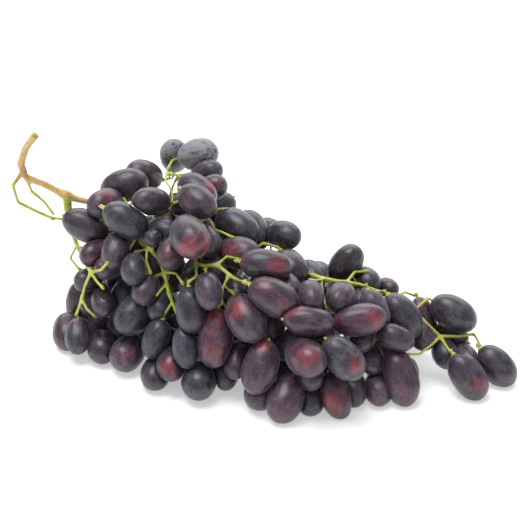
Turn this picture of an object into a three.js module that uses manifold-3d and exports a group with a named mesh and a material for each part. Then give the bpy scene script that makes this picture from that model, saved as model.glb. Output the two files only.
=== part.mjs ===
// A bunch of dark oval table grapes lying on a flat surface, in millimetres, +Z up.
// +X runs from the cut stem to the tip of the bunch, +Y runs away from the viewer.
// The origin lies on the surface, under the middle of the bunch.

import * as THREE from 'three';
import { mergeVertices } from 'three/addons/utils/BufferGeometryUtils.js';
import Module from 'manifold-3d';

const wasm = await Module();
wasm.setup();

// Driving sizes
const fullBerry = { length: 26, width: 17.5 };
const berryRatio = fullBerry.length / fullBerry.width;
const berryFacets = { round: 7, long: 4 };
const hiddenFacets = { round: 5, long: 4 };
const facetSwell = 1.06; // a faceted berry is drawn this much larger, to keep most of its volume
const press = 1.6; // how far neighbours of one group are pressed into each other
const loosePress = 0.25; // how far the other neighbours of a group are pressed into each other
const nodeGap = 0.3; // between berries of two groups, and between stem and berries
const stemGap = 0.42; // that a berry's cut beside a stem leaves, so that the stem's corners clear it
const floorFlat = 0.9; // how much a berry flattens where it lies on the surface
const secondLayer = 30; // berries right behind the seen ones
const hiddenBerries = 60; // those and the ones on the back, the underside and inside
const pedicel = { radius: 0.85, growth: 0.08, thickest: 1.5, sides: 3, step: 13, longest: 26 };
const receptacleRadius = 1.7; // the swollen end of a pedicel
const stemFacets = { thickSides: 6, thinSides: 4, step: 11 };
const thinBranch = 1.15; // radius under which a branch gets the thin number of sides
const hiddenSize = { least: 0.86, most: 1.02 }; // of a full-grown berry
const settling = {
  rounds: 260,
  calmFrom: 0.7, // the share of the rounds after which pushes are soft
  push: { early: 0.45, calm: 0.25 },
  pull: 0.9,
  longestPull: 2,
  sideways: { pushed: 0.25, pulled: 0.7 }, // how far a seen body yields off its line of sight
  return: { berry: 0.015, stem: 0.02, sideways: 0.93 }, // back to where the view puts it, each round
  inward: 0.8, // millimetres a hidden berry outside the heap moves in, each round
};
const layerDepth = 0.6; // of a berry's width, from one layer of seen berries to the next
const beadSpacing = 9; // pixels between the beads that stand for a stem while it settles
const seed = 41;
const scrap = 5; // cubic millimetres, below which a loose bit is dropped

const berryFinish = { color: 0x3d3a48, roughness: 0.5, metalness: 0 };
const stemFinish = { color: 0xb5a862, roughness: 0.7, metalness: 0 };

// The reference view: readings in its pixels become places through this
const view = {
  middle: 262,
  pixel: 0.52, // millimetres to a pixel, at the aim point
  aim: new THREE.Vector3(0, 0, 54),
  distance: 850,
  elevation: THREE.MathUtils.degToRad(30),
};
const forward = new THREE.Vector3(0, Math.cos(view.elevation), -Math.sin(view.elevation));
const rightward = new THREE.Vector3(1, 0, 0);
const upward = new THREE.Vector3(0, Math.sin(view.elevation), Math.cos(view.elevation));
const eye = view.aim.clone().addScaledVector(forward, -view.distance);

function sightLine(x, y) {
  const slope = view.pixel / view.distance;
  return forward.clone()
    .addScaledVector(rightward, (x - view.middle) * slope)
    .addScaledVector(upward, (view.middle - y) * slope);
}

function placeAt(line, depth) {
  return eye.clone().addScaledVector(line, depth);
}

// The heap that the berries fill: its front edge, back edge and height along X
const heap = [
  { x: -112, front: 12, back: 40, height: 40 },
  { x: -95, front: -2, back: 57, height: 66 },
  { x: -84, front: -10, back: 66, height: 83 },
  { x: -69, front: -20, back: 84, height: 87 },
  { x: -48, front: -39, back: 99, height: 94 },
  { x: -30, front: -49, back: 97, height: 94 },
  { x: -11, front: -57, back: 61, height: 76 },
  { x: 4, front: -62, back: 49, height: 70 },
  { x: 20, front: -73, back: 39, height: 70 },
  { x: 41, front: -71, back: 31, height: 65 },
  { x: 56, front: -62, back: 21, height: 55 },
  { x: 72, front: -57, back: 14, height: 44 },
  { x: 98, front: -49, back: 10, height: 40 },
  { x: 113, front: -47, back: 0, height: 28 },
  { x: 135, front: -38, back: -8, height: 19 },
];
const heapRoundness = 3;
const heapSearch = 160; // millimetres before and behind the aim point
const heapEnd = 10; // millimetres over which the heap ends, past its first and last station

// Below 1 inside the heap drawn in by the margin, above 1 outside it
function heapLevel(point, margin) {
  const x = THREE.MathUtils.clamp(point.x, heap[0].x, heap.at(-1).x);
  const next = Math.max(1, heap.findIndex((station) => station.x >= x));
  const [from, to] = [heap[next - 1], heap[next]];
  const share = (x - from.x) / (to.x - from.x);
  const mix = (key) => THREE.MathUtils.lerp(from[key], to[key], share);
  const halfDepth = Math.max(2, (mix('back') - mix('front')) / 2 - margin);
  const middle = (mix('back') + mix('front')) / 2;
  const height = Math.max(3, mix('height') - margin);
  const across = Math.abs(point.y - middle) / halfDepth;
  const over = Math.max(0, point.z) / height;
  const beyond = Math.abs(point.x - x) / heapEnd;
  return across ** heapRoundness + over ** heapRoundness + beyond;
}

// The depth along a line of sight where it first meets the heap, or comes closest to it
function heapDepth(line, margin) {
  let best = { depth: view.distance, level: Infinity };
  for (let depth = view.distance - heapSearch; depth < view.distance + heapSearch; depth += 1) {
    const level = heapLevel(placeAt(line, depth), margin);
    if (level < best.level) best = { depth, level };
    if (level <= 1) break;
  }
  return best.depth;
}

// Berries as seen: middle x, y, seen length and width in pixels, the direction of the stalk end
// in degrees anticlockwise from the right, and the layer, counted in berry widths behind the front
const groups = {
  berries_shoulder: [
    { x: 80.5, y: 230.5, long: 49, wide: 32, lean: 155, layer: 0 },
    { x: 124, y: 186, long: 50, wide: 34, lean: 195, layer: 0 },
    { x: 108, y: 198, long: 36, wide: 28, lean: 30, layer: 1 },
    { x: 124, y: 222, long: 51, wide: 34, lean: 150, layer: 0 },
    { x: 145, y: 174, long: 37, wide: 31, lean: 345, layer: 1 },
    { x: 154.5, y: 198, long: 38, wide: 28, lean: 0, layer: 0.4 },
    { x: 115, y: 252, long: 38, wide: 28, lean: 80, layer: 1 },
    { x: 97, y: 256, long: 34, wide: 26, lean: 30, layer: 1 },
    { x: 108, y: 266, long: 30, wide: 24, lean: 30, layer: 1 },
  ],
  berries_crown: [
    { x: 171, y: 154.5, long: 33, wide: 29, lean: 270, layer: 1 },
    { x: 202.5, y: 155, long: 42, wide: 32, lean: 188, layer: 0 },
    { x: 207, y: 173, long: 34, wide: 26, lean: 200, layer: 1 },
    { x: 212, y: 190, long: 34, wide: 27, lean: 200, layer: 1 },
    { x: 199, y: 188, long: 45, wide: 32, lean: 140, layer: 0.3 },
    { x: 195, y: 202, long: 43, wide: 31, lean: 142, layer: 0 },
    { x: 177, y: 207, long: 28, wide: 22, lean: 180, layer: 1.6 },
  ],
  berries_middle: [
    { x: 189, y: 235, long: 46, wide: 38, lean: 120, layer: 0 },
    { x: 207, y: 238, long: 36, wide: 27, lean: 120, layer: 1 },
    { x: 165, y: 229, long: 32, wide: 24, lean: 160, layer: 1 },
    { x: 171, y: 254, long: 36, wide: 28, lean: 70, layer: 1 },
    { x: 238, y: 221, long: 48, wide: 34, lean: 147, layer: 0 },
    { x: 252, y: 230, long: 44, wide: 32, lean: 120, layer: 1 },
    { x: 233, y: 258, long: 44, wide: 34, lean: 170, layer: 1 },
    { x: 283.5, y: 235.5, long: 35, wide: 29.5, lean: 165, layer: 0 },
    { x: 272, y: 231, long: 32, wide: 26, lean: 160, layer: 1 },
    { x: 151, y: 239, long: 18, wide: 16.5, lean: 100, layer: 0.6 },
    { x: 212, y: 272, long: 36, wide: 27, lean: 100, layer: 1.8 },
  ],
  berries_left: [
    { x: 88, y: 278, long: 28, wide: 24, lean: 20, layer: 0.8 },
    { x: 107, y: 302, long: 30, wide: 24, lean: 110, layer: 0.5 },
    { x: 89, y: 303, long: 32, wide: 24, lean: 80, layer: 0.9 },
    { x: 75.3, y: 336, long: 36, wide: 26, lean: 92, layer: 0 },
    { x: 69, y: 331, long: 38, wide: 30, lean: 95, layer: 1 },
    { x: 100, y: 328, long: 32, wide: 27, lean: 100, layer: 0.6 },
    { x: 103, y: 346, long: 34, wide: 30, lean: 100, floor: true },
    { x: 132.3, y: 266.4, long: 33, wide: 25.5, lean: 90, layer: 0 },
    { x: 125, y: 299, long: 52, wide: 32, lean: 83, layer: 0.5 },
    { x: 151, y: 290, long: 32, wide: 27, lean: 60, layer: 0.8 },
    { x: 137.5, y: 316.5, long: 52, wide: 36, lean: 47, layer: 0 },
    { x: 128, y: 353, long: 38, wide: 34, lean: 60, floor: true },
    { x: 117, y: 330, long: 32, wide: 26, lean: 90, layer: 1.4 },
  ],
  berries_front_left: [
    { x: 156, y: 342.7, long: 42, wide: 27, lean: 72, layer: 0 },
    { x: 184, y: 349.5, long: 43.5, wide: 26, lean: 97, layer: 0 },
    { x: 168, y: 367, long: 34, wide: 31, lean: 80, layer: 0.8 },
    { x: 159, y: 371, long: 34, wide: 30, lean: 80, floor: true },
    { x: 203, y: 381, long: 38, wide: 36, lean: 90, floor: true },
    { x: 222, y: 372, long: 38, wide: 27, lean: 100, layer: 0.4 },
    { x: 191, y: 309, long: 48, wide: 31, lean: 95, layer: 0.5 },
    { x: 190, y: 282, long: 26, wide: 22, lean: 100, layer: 1 },
    { x: 158, y: 300, long: 34, wide: 26, lean: 60, layer: 1.5 },
    { x: 211.5, y: 290, long: 38, wide: 27, lean: 100, layer: 0.5 },
    { x: 214.5, y: 337.5, long: 61, wide: 36, lean: 84, layer: 0 },
    { x: 238, y: 362, long: 36, wide: 26, lean: 80, layer: 1 },
  ],
  berries_heart: [
    { x: 265.5, y: 264, long: 53, wide: 32, lean: 172, layer: 0 },
    { x: 284, y: 265, long: 38, wide: 30, lean: 120, layer: 1 },
    { x: 287, y: 287, long: 34, wide: 28, lean: 120, layer: 1 },
    { x: 275, y: 299, long: 56, wide: 37, lean: 152, layer: 0 },
    { x: 246, y: 319, long: 52, wide: 38, lean: 118, layer: 0 },
    { x: 236, y: 290, long: 32, wide: 26, lean: 100, layer: 1.4 },
    { x: 306, y: 319, long: 51, wide: 30, lean: 175, layer: 0.7 },
    { x: 311.5, y: 293, long: 32, wide: 26, lean: 95, layer: 0.6 },
    { x: 319, y: 278, long: 34, wide: 28, lean: 120, layer: 1.2 },
    { x: 322, y: 337, long: 36, wide: 28, lean: 100, layer: 1.5 },
  ],
  berries_front_right: [
    { x: 260.5, y: 366.3, long: 57, wide: 36, lean: 73, layer: 0 },
    { x: 262, y: 393, long: 36, wide: 32, lean: 80, floor: true },
    { x: 289, y: 398.5, long: 52, wide: 38, lean: 65, floor: true },
    { x: 329, y: 397, long: 50, wide: 30, lean: 108, floor: true },
    { x: 304, y: 355.5, long: 42, wide: 38, lean: 150, layer: 0 },
    { x: 344, y: 357.5, long: 53, wide: 35, lean: 132, layer: 0 },
    { x: 358, y: 387, long: 38, wide: 30, lean: 100, floor: true },
    { x: 308, y: 395, long: 38, wide: 30, lean: 90, floor: true },
    { x: 392.5, y: 377.5, long: 61, wide: 37, lean: 105, floor: true },
    { x: 380, y: 387, long: 34, wide: 28, lean: 100, floor: true },
    { x: 414, y: 371, long: 32, wide: 25, lean: 90, floor: true },
    { x: 368, y: 357, long: 34, wide: 27, lean: 100, layer: 1.5 },
    { x: 311, y: 376, long: 34, wide: 27, lean: 100, layer: 1.7 },
  ],
  berries_ridge: [
    { x: 341, y: 261, long: 44, wide: 31.5, lean: 235, layer: 0 },
    { x: 368, y: 279, long: 31, wide: 29, lean: 140, layer: 0.5 },
    { x: 391, y: 289, long: 24, wide: 20, lean: 160, layer: 0.9 },
    { x: 341, y: 298.5, long: 34, wide: 29, lean: 60, layer: 0.5 },
    { x: 374, y: 307, long: 45, wide: 29, lean: 108, layer: 0.5 },
    { x: 357, y: 320.3, long: 55, wide: 33, lean: 188, layer: 0 },
    { x: 404, y: 314, long: 52, wide: 35, lean: 125, layer: 0 },
    { x: 424, y: 316, long: 42, wide: 27, lean: 105, layer: 1 },
    { x: 397, y: 341, long: 40, wide: 26, lean: 158, layer: 0.6 },
    { x: 424, y: 335, long: 34, wide: 26, lean: 120, layer: 1 },
    { x: 358, y: 300, long: 34, wide: 27, lean: 100, layer: 1.7 },
    { x: 360, y: 337, long: 34, wide: 27, lean: 100, layer: 1.9 },
  ],
  berries_tip: [
    { x: 453, y: 311.8, long: 50, wide: 34, lean: 148, layer: 0 },
    { x: 451, y: 337, long: 36, wide: 27, lean: 155, layer: 0.8 },
    { x: 444, y: 352, long: 33, wide: 26, lean: 105, layer: 0.8 },
    { x: 466.8, y: 376, long: 54, wide: 34, lean: 123, floor: true },
    { x: 495, y: 365.5, long: 49, wide: 33, lean: 133, floor: true },
    { x: 469, y: 357, long: 30, wide: 24, lean: 120, layer: 1 },
  ],
};

// Stems as seen, root first: points of the middle line and the width at both ends, in pixels.
// away is the distance behind the origin at both ends, and sunk is the depth below the face of the heap.
const stems = [
  { wide: [8.5, 6.5], away: [40, 40], seen: [[36, 134], [28, 143], [23, 156], [20, 168], [21, 176], [35, 180],
    [50, 187], [65, 195], [80, 200], [95, 203]] },
  { wide: [6.5, 5.5], sunk: 22, seen: [[95, 203], [108, 206], [124, 214], [141, 232], [165, 243],
    [196, 255], [220, 259], [240, 264], [266, 267], [291, 266]] },
  { wide: [5.5, 3.6], sunk: 4, seen: [[291, 266], [300, 270], [320, 278], [337, 283], [346, 281],
    [372, 290], [400, 298], [424, 322], [441, 337], [453, 337], [467, 335], [474, 334]] },
  { wide: [4.5, 3.5], away: [40, 40], seen: [[20, 172], [15, 181], [12, 190], [15, 200], [28, 207], [42, 214],
    [54, 219]] },
  { wide: [4, 3.5], away: [37, 37], seen: [[22, 178], [30, 190], [40, 196], [47, 206], [54, 215]] },
  { wide: [6, 5], away: [39, 38], seen: [[67, 196], [68, 213], [71, 230], [77, 245]] },
  { wide: [5, 4.5], away: [38, 2], seen: [[77, 245], [84, 259], [91, 272]] },
  { wide: [3.8, 3.2], away: [2, -3], seen: [[91, 272], [85, 285], [82, 299], [77, 310], [76, 316]] },
  { wide: [3.6, 3.2], away: [2, -6], seen: [[91, 272], [98, 283], [104, 289]] },
  { wide: [3.6, 3.2], away: [2, -6], seen: [[91, 272], [101, 270], [108, 262]] },
  { wide: [3.4, 3.2], away: [-1, -6], seen: [[82, 299], [88, 311], [96, 317]] },
  { wide: [3.2, 3.2], away: [36, 24], seen: [[76, 247], [70, 255], [72, 263], [79, 269]] },
  { wide: [3.2, 3.2], away: [39, 36], seen: [[100, 203], [88, 209], [86, 216]] },
  { wide: [3.6, 3.2], sunk: 5, seen: [[124, 214], [132, 203], [138, 194]] },
  { wide: [3.4, 3.2], sunk: 8, seen: [[141, 232], [160, 214], [172, 214], [174, 205], [172, 191], [165, 180],
    [168, 168], [175, 158], [183, 156]] },
  { wide: [3.2, 4], sunk: 4, seen: [[174, 205], [181, 199], [193, 205]] },
  { wide: [3.2, 3.2], sunk: 5, seen: [[168, 172], [177, 175], [185, 175]] },
  { wide: [5, 3.4], sunk: 4, seen: [[141, 232], [141, 242], [150, 249], [160, 260], [165, 275], [169, 293],
    [174, 308], [182, 319], [182, 327]] },
  { wide: [3.4, 3.2], sunk: 4, seen: [[170, 303], [165, 313], [162, 322]] },
  { wide: [3.4, 3.2], sunk: 4, seen: [[165, 271], [173, 271], [184, 285]] },
  { wide: [3.4, 3.2], sunk: 4, seen: [[167, 283], [156, 296]] },
  { wide: [3.4, 3.2], sunk: 4, seen: [[144, 250], [148, 266], [151, 274]] },
  { wide: [4.5, 4], sunk: 4, seen: [[196, 255], [197, 265], [208, 266], [217, 265]] },
  { wide: [3.4, 3.2], sunk: 4, seen: [[217, 265], [221, 259], [230, 256], [240, 259]] },
  { wide: [4, 3.2], sunk: 4, seen: [[217, 265], [223, 270], [228, 276], [237, 277], [248, 285]] },
  { wide: [3.4, 3.2], sunk: 4, seen: [[228, 276], [222, 289], [221, 305]] },
  { wide: [3.4, 3.2], sunk: 4, seen: [[195, 266], [197, 276]] },
  { wide: [3.6, 3.2], sunk: 6, seen: [[220, 259], [222, 240], [212, 226], [204, 219], [209, 213],
    [219, 209]] },
  { wide: [3.4, 3.2], sunk: 3, seen: [[215, 229], [224, 233], [234, 239]] },
  { wide: [3.6, 3.2], sunk: 5, seen: [[240, 264], [256, 246], [268, 243], [278, 247]] },
  { wide: [3.6, 3.2], sunk: 3, seen: [[346, 281], [354, 272], [361, 270], [368, 272]] },
  { wide: [3.2, 3.2], sunk: 4, seen: [[352, 282], [367, 287]] },
  { wide: [3.4, 3.2], sunk: 4, seen: [[396, 296], [406, 292], [415, 296]] },
  { wide: [3.4, 3.2], sunk: 4, seen: [[441, 337], [432, 344], [423, 352], [415, 356], [404, 355]] },
  { wide: [3.4, 3.2], sunk: 4, seen: [[441, 337], [446, 346], [451, 353]] },
  { wide: [3.2, 3.2], sunk: 3, seen: [[474, 334], [478, 341], [481, 346]] },
];

// Everything that settles is an oval body: centre, axis, half length a and half width b.
// A seen body also has its line of sight and its depth along it.
function halfHeight(body) {
  const rise = body.axis.z ** 2;
  return Math.sqrt(body.a ** 2 * rise + body.b ** 2 * (1 - rise));
}

function seenBerry(reading, group) {
  const line = sightLine(reading.x, reading.y);
  const half = reading.wide / 2 * view.pixel;
  const ratio = Math.max(berryRatio, reading.long / reading.wide);
  const seenRatio = reading.long / reading.wide;
  const facing = Math.sqrt((seenRatio ** 2 - 1) / (ratio ** 2 - 1));
  const lean = THREE.MathUtils.degToRad(reading.lean);
  const axis = rightward.clone().multiplyScalar(Math.cos(lean) * facing)
    .addScaledVector(upward, Math.sin(lean) * facing)
    .addScaledVector(forward, Math.sqrt(Math.max(0, 1 - facing ** 2)))
    .normalize();
  const body = { group, line, axis, a: half * ratio, b: half, seen: true, floor: reading.floor };
  if (reading.floor) {
    body.depth = (halfHeight(body) - floorFlat - eye.z) / line.z;
  } else {
    body.depth = heapDepth(line, half) + reading.layer * fullBerry.width * layerDepth;
  }
  const nearness = body.depth / view.distance;
  body.a *= nearness;
  body.b *= nearness;
  body.wanted = body.depth;
  body.centre = placeAt(line, body.depth);
  body.home = body.centre.clone();
  return body;
}

// A stem reading as a chain of small round beads along its middle line
function stemChain(stem) {
  const drawn = new THREE.CatmullRomCurve3(stem.seen.map(([x, y]) => new THREE.Vector3(x, y, 0)));
  const steps = Math.max(2, Math.round(drawn.getLength() / beadSpacing));
  return drawn.getSpacedPoints(steps).map((spot, index) => {
    const line = sightLine(spot.x, spot.y);
    const share = index / steps;
    const half = THREE.MathUtils.lerp(...stem.wide, share) / 2 * view.pixel;
    const depth = stem.away
      ? (THREE.MathUtils.lerp(...stem.away, share) - eye.y) / line.y
      : heapDepth(line, fullBerry.width / 2) + stem.sunk;
    const centre = placeAt(line, depth);
    return { stem: true, line, depth, wanted: depth, centre, home: centre.clone(),
      axis: rightward, a: half, b: half, seen: true };
  });
}

// The balls that fill an oval body along its axis
const ballShares = { settling: [-1, -0.6, -0.2, 0.2, 0.6, 1], drawing: [-1, -0.66, -0.33, 0, 0.33, 0.66, 1] };

function ballsInside(body, shares) {
  const stretch = body.a ** 2 - body.b ** 2;
  if (stretch < 1) return [{ centre: body.centre, radius: body.b }];
  return shares.map((share) => {
    const along = share * stretch / body.a;
    const radius = body.b * Math.sqrt(1 - along ** 2 / stretch);
    return { centre: body.centre.clone().addScaledVector(body.axis, along), radius };
  });
}

// The gap between two oval bodies, from the balls inside them
function gapBetween(one, two) {
  let best = { gap: Infinity };
  const ballsTwo = ballsInside(two, ballShares.settling);
  for (const first of ballsInside(one, ballShares.settling)) {
    for (const second of ballsTwo) {
      const gap = first.centre.distanceTo(second.centre) - first.radius - second.radius;
      if (gap < best.gap) best = { gap, first, second };
    }
  }
  best.normal = best.second.centre.clone().sub(best.first.centre).normalize();
  return best;
}

// A seen body slides along its line of sight and barely sideways
function shift(body, move, sideways = settling.sideways.pushed) {
  if (!body.seen) {
    body.centre.add(move);
    return;
  }
  const along = move.dot(forward);
  body.depth += along;
  const aside = move.clone().addScaledVector(forward, -along);
  body.aside = (body.aside ?? new THREE.Vector3()).addScaledVector(aside, sideways);
  body.centre = placeAt(body.line, body.depth).add(body.aside);
}

function keepPlace(body) {
  if (body.seen) {
    body.depth += (body.wanted - body.depth) * (body.stem ? settling.return.stem : settling.return.berry);
    body.aside?.multiplyScalar(settling.return.sideways);
    body.centre = placeAt(body.line, body.depth).add(body.aside ?? new THREE.Vector3());
  } else if (heapLevel(body.centre, body.b) > 1) {
    const inward = body.root.clone().sub(body.centre).setLength(settling.inward);
    body.centre.add(inward);
  }
  const lowest = body.stem ? body.b + 1 : halfHeight(body) - floorFlat;
  const under = lowest - body.centre.z;
  if (under <= 0 && !body.floor) return;
  if (body.seen) {
    body.depth += under / body.line.z;
    body.centre.addScaledVector(body.line, under / body.line.z);
  } else {
    body.centre.z += under;
  }
}

// Pairs of a group that hold it together: the shortest tree of gaps
function holdingPairs(members) {
  const inTree = [members[0]];
  const waiting = members.slice(1);
  const pairs = [];
  while (waiting.length > 0) {
    let best = { gap: Infinity };
    for (const one of inTree) {
      for (const two of waiting) {
        const bound = one.centre.distanceTo(two.centre) - one.a - two.a;
        if (bound < best.gap) {
          const { gap } = gapBetween(one, two);
          if (gap < best.gap) best = { gap, one, two };
        }
      }
    }
    pairs.push(best);
    inTree.push(best.two);
    waiting.splice(waiting.indexOf(best.two), 1);
  }
  return pairs;
}

// The shares of a push that two bodies take: a stem yields less than a berry
function yielding(one, two) {
  if (one.stem) return [0.5, 1];
  if (two.stem) return [1, 0.5];
  return [0.7, 0.7];
}

function settle(bodies, chains) {
  const names = [...new Set(bodies.filter((body) => body.group).map((body) => body.group))];
  for (let round = 0; round < settling.rounds; round += 1) {
    const calm = round > settling.rounds * settling.calmFrom;
    for (let i = 0; i < bodies.length; i += 1) {
      for (let j = i + 1; j < bodies.length; j += 1) {
        const [one, two] = [bodies[i], bodies[j]];
        if (one.stem && two.stem) continue;
        if (one.centre.distanceTo(two.centre) > one.a + two.a + 1) continue;
        const room = one.group === two.group ? -loosePress : nodeGap;
        const contact = gapBetween(one, two);
        if (contact.gap >= room) continue;
        const push = (room - contact.gap) * (calm ? settling.push.calm : settling.push.early);
        const shares = yielding(one, two);
        shift(one, contact.normal.clone().multiplyScalar(-push * shares[0]));
        shift(two, contact.normal.clone().multiplyScalar(push * shares[1]));
      }
    }
    if (calm || round % 3 === 0) {
      for (const name of names) {
        for (const { gap, one, two } of holdingPairs(bodies.filter((body) => body.group === name))) {
          const pull = Math.min(settling.longestPull, Math.max(0, gap + press) * settling.pull);
          const { normal } = gapBetween(one, two);
          shift(one, normal.clone().multiplyScalar(pull), settling.sideways.pulled);
          shift(two, normal.clone().multiplyScalar(-pull), settling.sideways.pulled);
        }
      }
    }
    for (const chain of chains) {
      for (let k = 1; k < chain.length - 1; k += 1) {
        const between = (chain[k - 1].depth + chain[k + 1].depth) / 2;
        chain[k].depth = THREE.MathUtils.lerp(chain[k].depth, between, 0.3);
      }
      if (chain.parent) chain[0].depth = chain.parent.depth;
    }
    for (const body of bodies) keepPlace(body);
  }
}

// Seen berries and stems
const berries = Object.entries(groups).flatMap(([group, readings]) =>
  readings.map((reading) => seenBerry(reading, group)));
const chains = stems.map(stemChain);
for (const [index, chain] of chains.entries()) {
  if (index === 0) continue;
  const earlier = chains.slice(0, index).flat();
  const pixelGap = (bead) => Math.hypot(bead.line.x - chain[0].line.x, bead.line.z - chain[0].line.z);
  chain.parent = earlier.reduce((best, bead) => (pixelGap(bead) < pixelGap(best) ? bead : best));
}
for (const chain of chains) for (const bead of chain) bead.piece = chain;
const rachis = [...chains[1], ...chains[2]];

// Hidden berries, on the back, below and inside, with their stalk ends towards the rachis
function nearestOf(points, place) {
  return points.reduce((best, point) =>
    (point.centre.distanceTo(place) < best.centre.distanceTo(place) ? point : best));
}

// A place right behind the seen berries, or anywhere in the heap that the view doesn't reach
const backZones = [-72, -42, -12, 25, Infinity]; // where along X the groups of hidden berries end
const hiddenRoom = { x: [-92, 113], y: [-65, 95], z: [6, 90] };
const hiddenWindow = { x: [95, 470], y: [150, 400] }; // pixels behind which the second layer lies
const hiddenLevels = [0.1, 1.02]; // of the heap, between which a hidden berry may lie
const crowding = 1.5; // millimetres by which a new berry may cut into one that is there
const hiddenTries = 30000;

function hiddenPlace(behindSeen) {
  const shares = Array.from({ length: 3 }, () => THREE.MathUtils.seededRandom());
  if (behindSeen) {
    const line = sightLine(
      THREE.MathUtils.lerp(...hiddenWindow.x, shares[0]),
      THREE.MathUtils.lerp(...hiddenWindow.y, shares[1]),
    );
    const depth = heapDepth(line, fullBerry.width / 2) + fullBerry.width * (0.85 + 0.5 * shares[2]);
    return placeAt(line, depth);
  }
  return new THREE.Vector3(
    THREE.MathUtils.lerp(...hiddenRoom.x, shares[0]),
    THREE.MathUtils.lerp(...hiddenRoom.y, shares[1]),
    THREE.MathUtils.lerp(...hiddenRoom.z, shares[2]),
  );
}

function hiddenBerry(behindSeen) {
  const place = hiddenPlace(behindSeen);
  const size = THREE.MathUtils.lerp(hiddenSize.least, hiddenSize.most, THREE.MathUtils.seededRandom());
  const tumble = new THREE.Vector3(...Array.from({ length: 3 }, () => THREE.MathUtils.seededRandom() - 0.5));
  const level = heapLevel(place, fullBerry.width / 2);
  if (level < hiddenLevels[0] || level > hiddenLevels[1]) return null;
  const toEye = place.clone().sub(eye);
  const depth = toEye.dot(forward);
  const line = toEye.clone().divideScalar(depth);
  if (depth < heapDepth(line, fullBerry.width / 2) + fullBerry.width * 0.8) return null;
  const root = nearestOf(rachis, place).centre.clone();
  const axis = root.clone().sub(place).normalize().add(tumble).normalize();
  const zone = backZones.findIndex((end) => place.x < end);
  const body = {
    group: `berries_back_${zone + 1}`,
    centre: place,
    axis,
    a: fullBerry.length / 2 * size,
    b: fullBerry.width / 2 * size,
    seen: false,
    root,
  };
  const crowded = [...berries, ...chains.flat()].some((other) =>
    other.centre.distanceTo(place) < other.a + body.a && gapBetween(other, body).gap < -crowding);
  return crowded ? null : body;
}

THREE.MathUtils.seededRandom(seed);
let hidden = 0;
for (let attempt = 0; attempt < hiddenTries && hidden < hiddenBerries; attempt += 1) {
  const berry = hiddenBerry(hidden < secondLayer);
  if (berry) {
    berries.push(berry);
    hidden += 1;
  }
}
settle([...berries, ...chains.flat()], chains);

// Room between the berries, in cells, for leading each pedicel to the stem
const cell = 2.4;
const low = new THREE.Vector3(-120, -82, 1);
const high = new THREE.Vector3(142, 108, 101);
const cells = high.clone().sub(low).divideScalar(cell).ceil();
const pedicelRoom = pedicel.radius + nodeGap + 0.1;
const farRoom = 6; // room beyond this makes no difference

function cellIndex(place) {
  const [i, j, k] = ['x', 'y', 'z'].map((key) =>
    THREE.MathUtils.clamp(Math.round((place[key] - low[key]) / cell), 0, cells[key] - 1));
  return (k * cells.y + j) * cells.x + i;
}

function cellPlace(index) {
  const i = index % cells.x;
  const j = Math.floor(index / cells.x) % cells.y;
  const k = Math.floor(index / cells.x / cells.y);
  return new THREE.Vector3(i, j, k).multiplyScalar(cell).add(low);
}

const swollen = (body) => ({ ...body, a: body.a * facetSwell, b: body.b * facetSwell });
const balls = berries.flatMap((berry) => ballsInside(swollen(berry), ballShares.drawing));

function roomField() {
  const field = new Float32Array(cells.x * cells.y * cells.z).fill(farRoom);
  for (const { centre, radius } of balls) {
    const span = Math.ceil((radius + farRoom) / cell);
    const middle = cellPlace(cellIndex(centre));
    for (let i = -span; i <= span; i += 1) {
      for (let j = -span; j <= span; j += 1) {
        for (let k = -span; k <= span; k += 1) {
          const place = middle.clone().add(new THREE.Vector3(i, j, k).multiplyScalar(cell));
          const index = cellIndex(place);
          field[index] = Math.min(field[index], cellPlace(index).distanceTo(centre) - radius);
        }
      }
    }
  }
  return field;
}

// A heap of numbered entries, least cost on top
class CheapestFirst {
  entries = [];

  push(entry) {
    const { entries } = this;
    let at = entries.push(entry) - 1;
    while (at > 0) {
      const above = (at - 1) >> 1;
      if (entries[above].cost <= entries[at].cost) break;
      [entries[above], entries[at]] = [entries[at], entries[above]];
      at = above;
    }
  }

  pop() {
    const { entries } = this;
    const first = entries[0];
    const last = entries.pop();
    if (entries.length === 0) return first;
    entries[0] = last;
    for (let at = 0; ;) {
      let least = at;
      for (const below of [2 * at + 1, 2 * at + 2]) {
        if (below < entries.length && entries[below].cost < entries[least].cost) least = below;
      }
      if (least === at) return first;
      [entries[least], entries[at]] = [entries[at], entries[least]];
      at = least;
    }
  }
}

// The cells of a cube around the middle one
function cube(span) {
  const along = Array.from({ length: 2 * span + 1 }, (_, index) => index - span);
  return along.flatMap((i) => along.flatMap((j) => along.map((k) => new THREE.Vector3(i, j, k))));
}

const neighbours = cube(1).filter((step) => step.length() > 0);
const tipCells = cube(3);
const wayCost = { narrow: 1.5, outside: 6, shallow: 0.7, margin: 4 }; // what makes a way dearer
const tipReach = 7; // the farthest that a pedicel starts from the end of its berry

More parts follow.
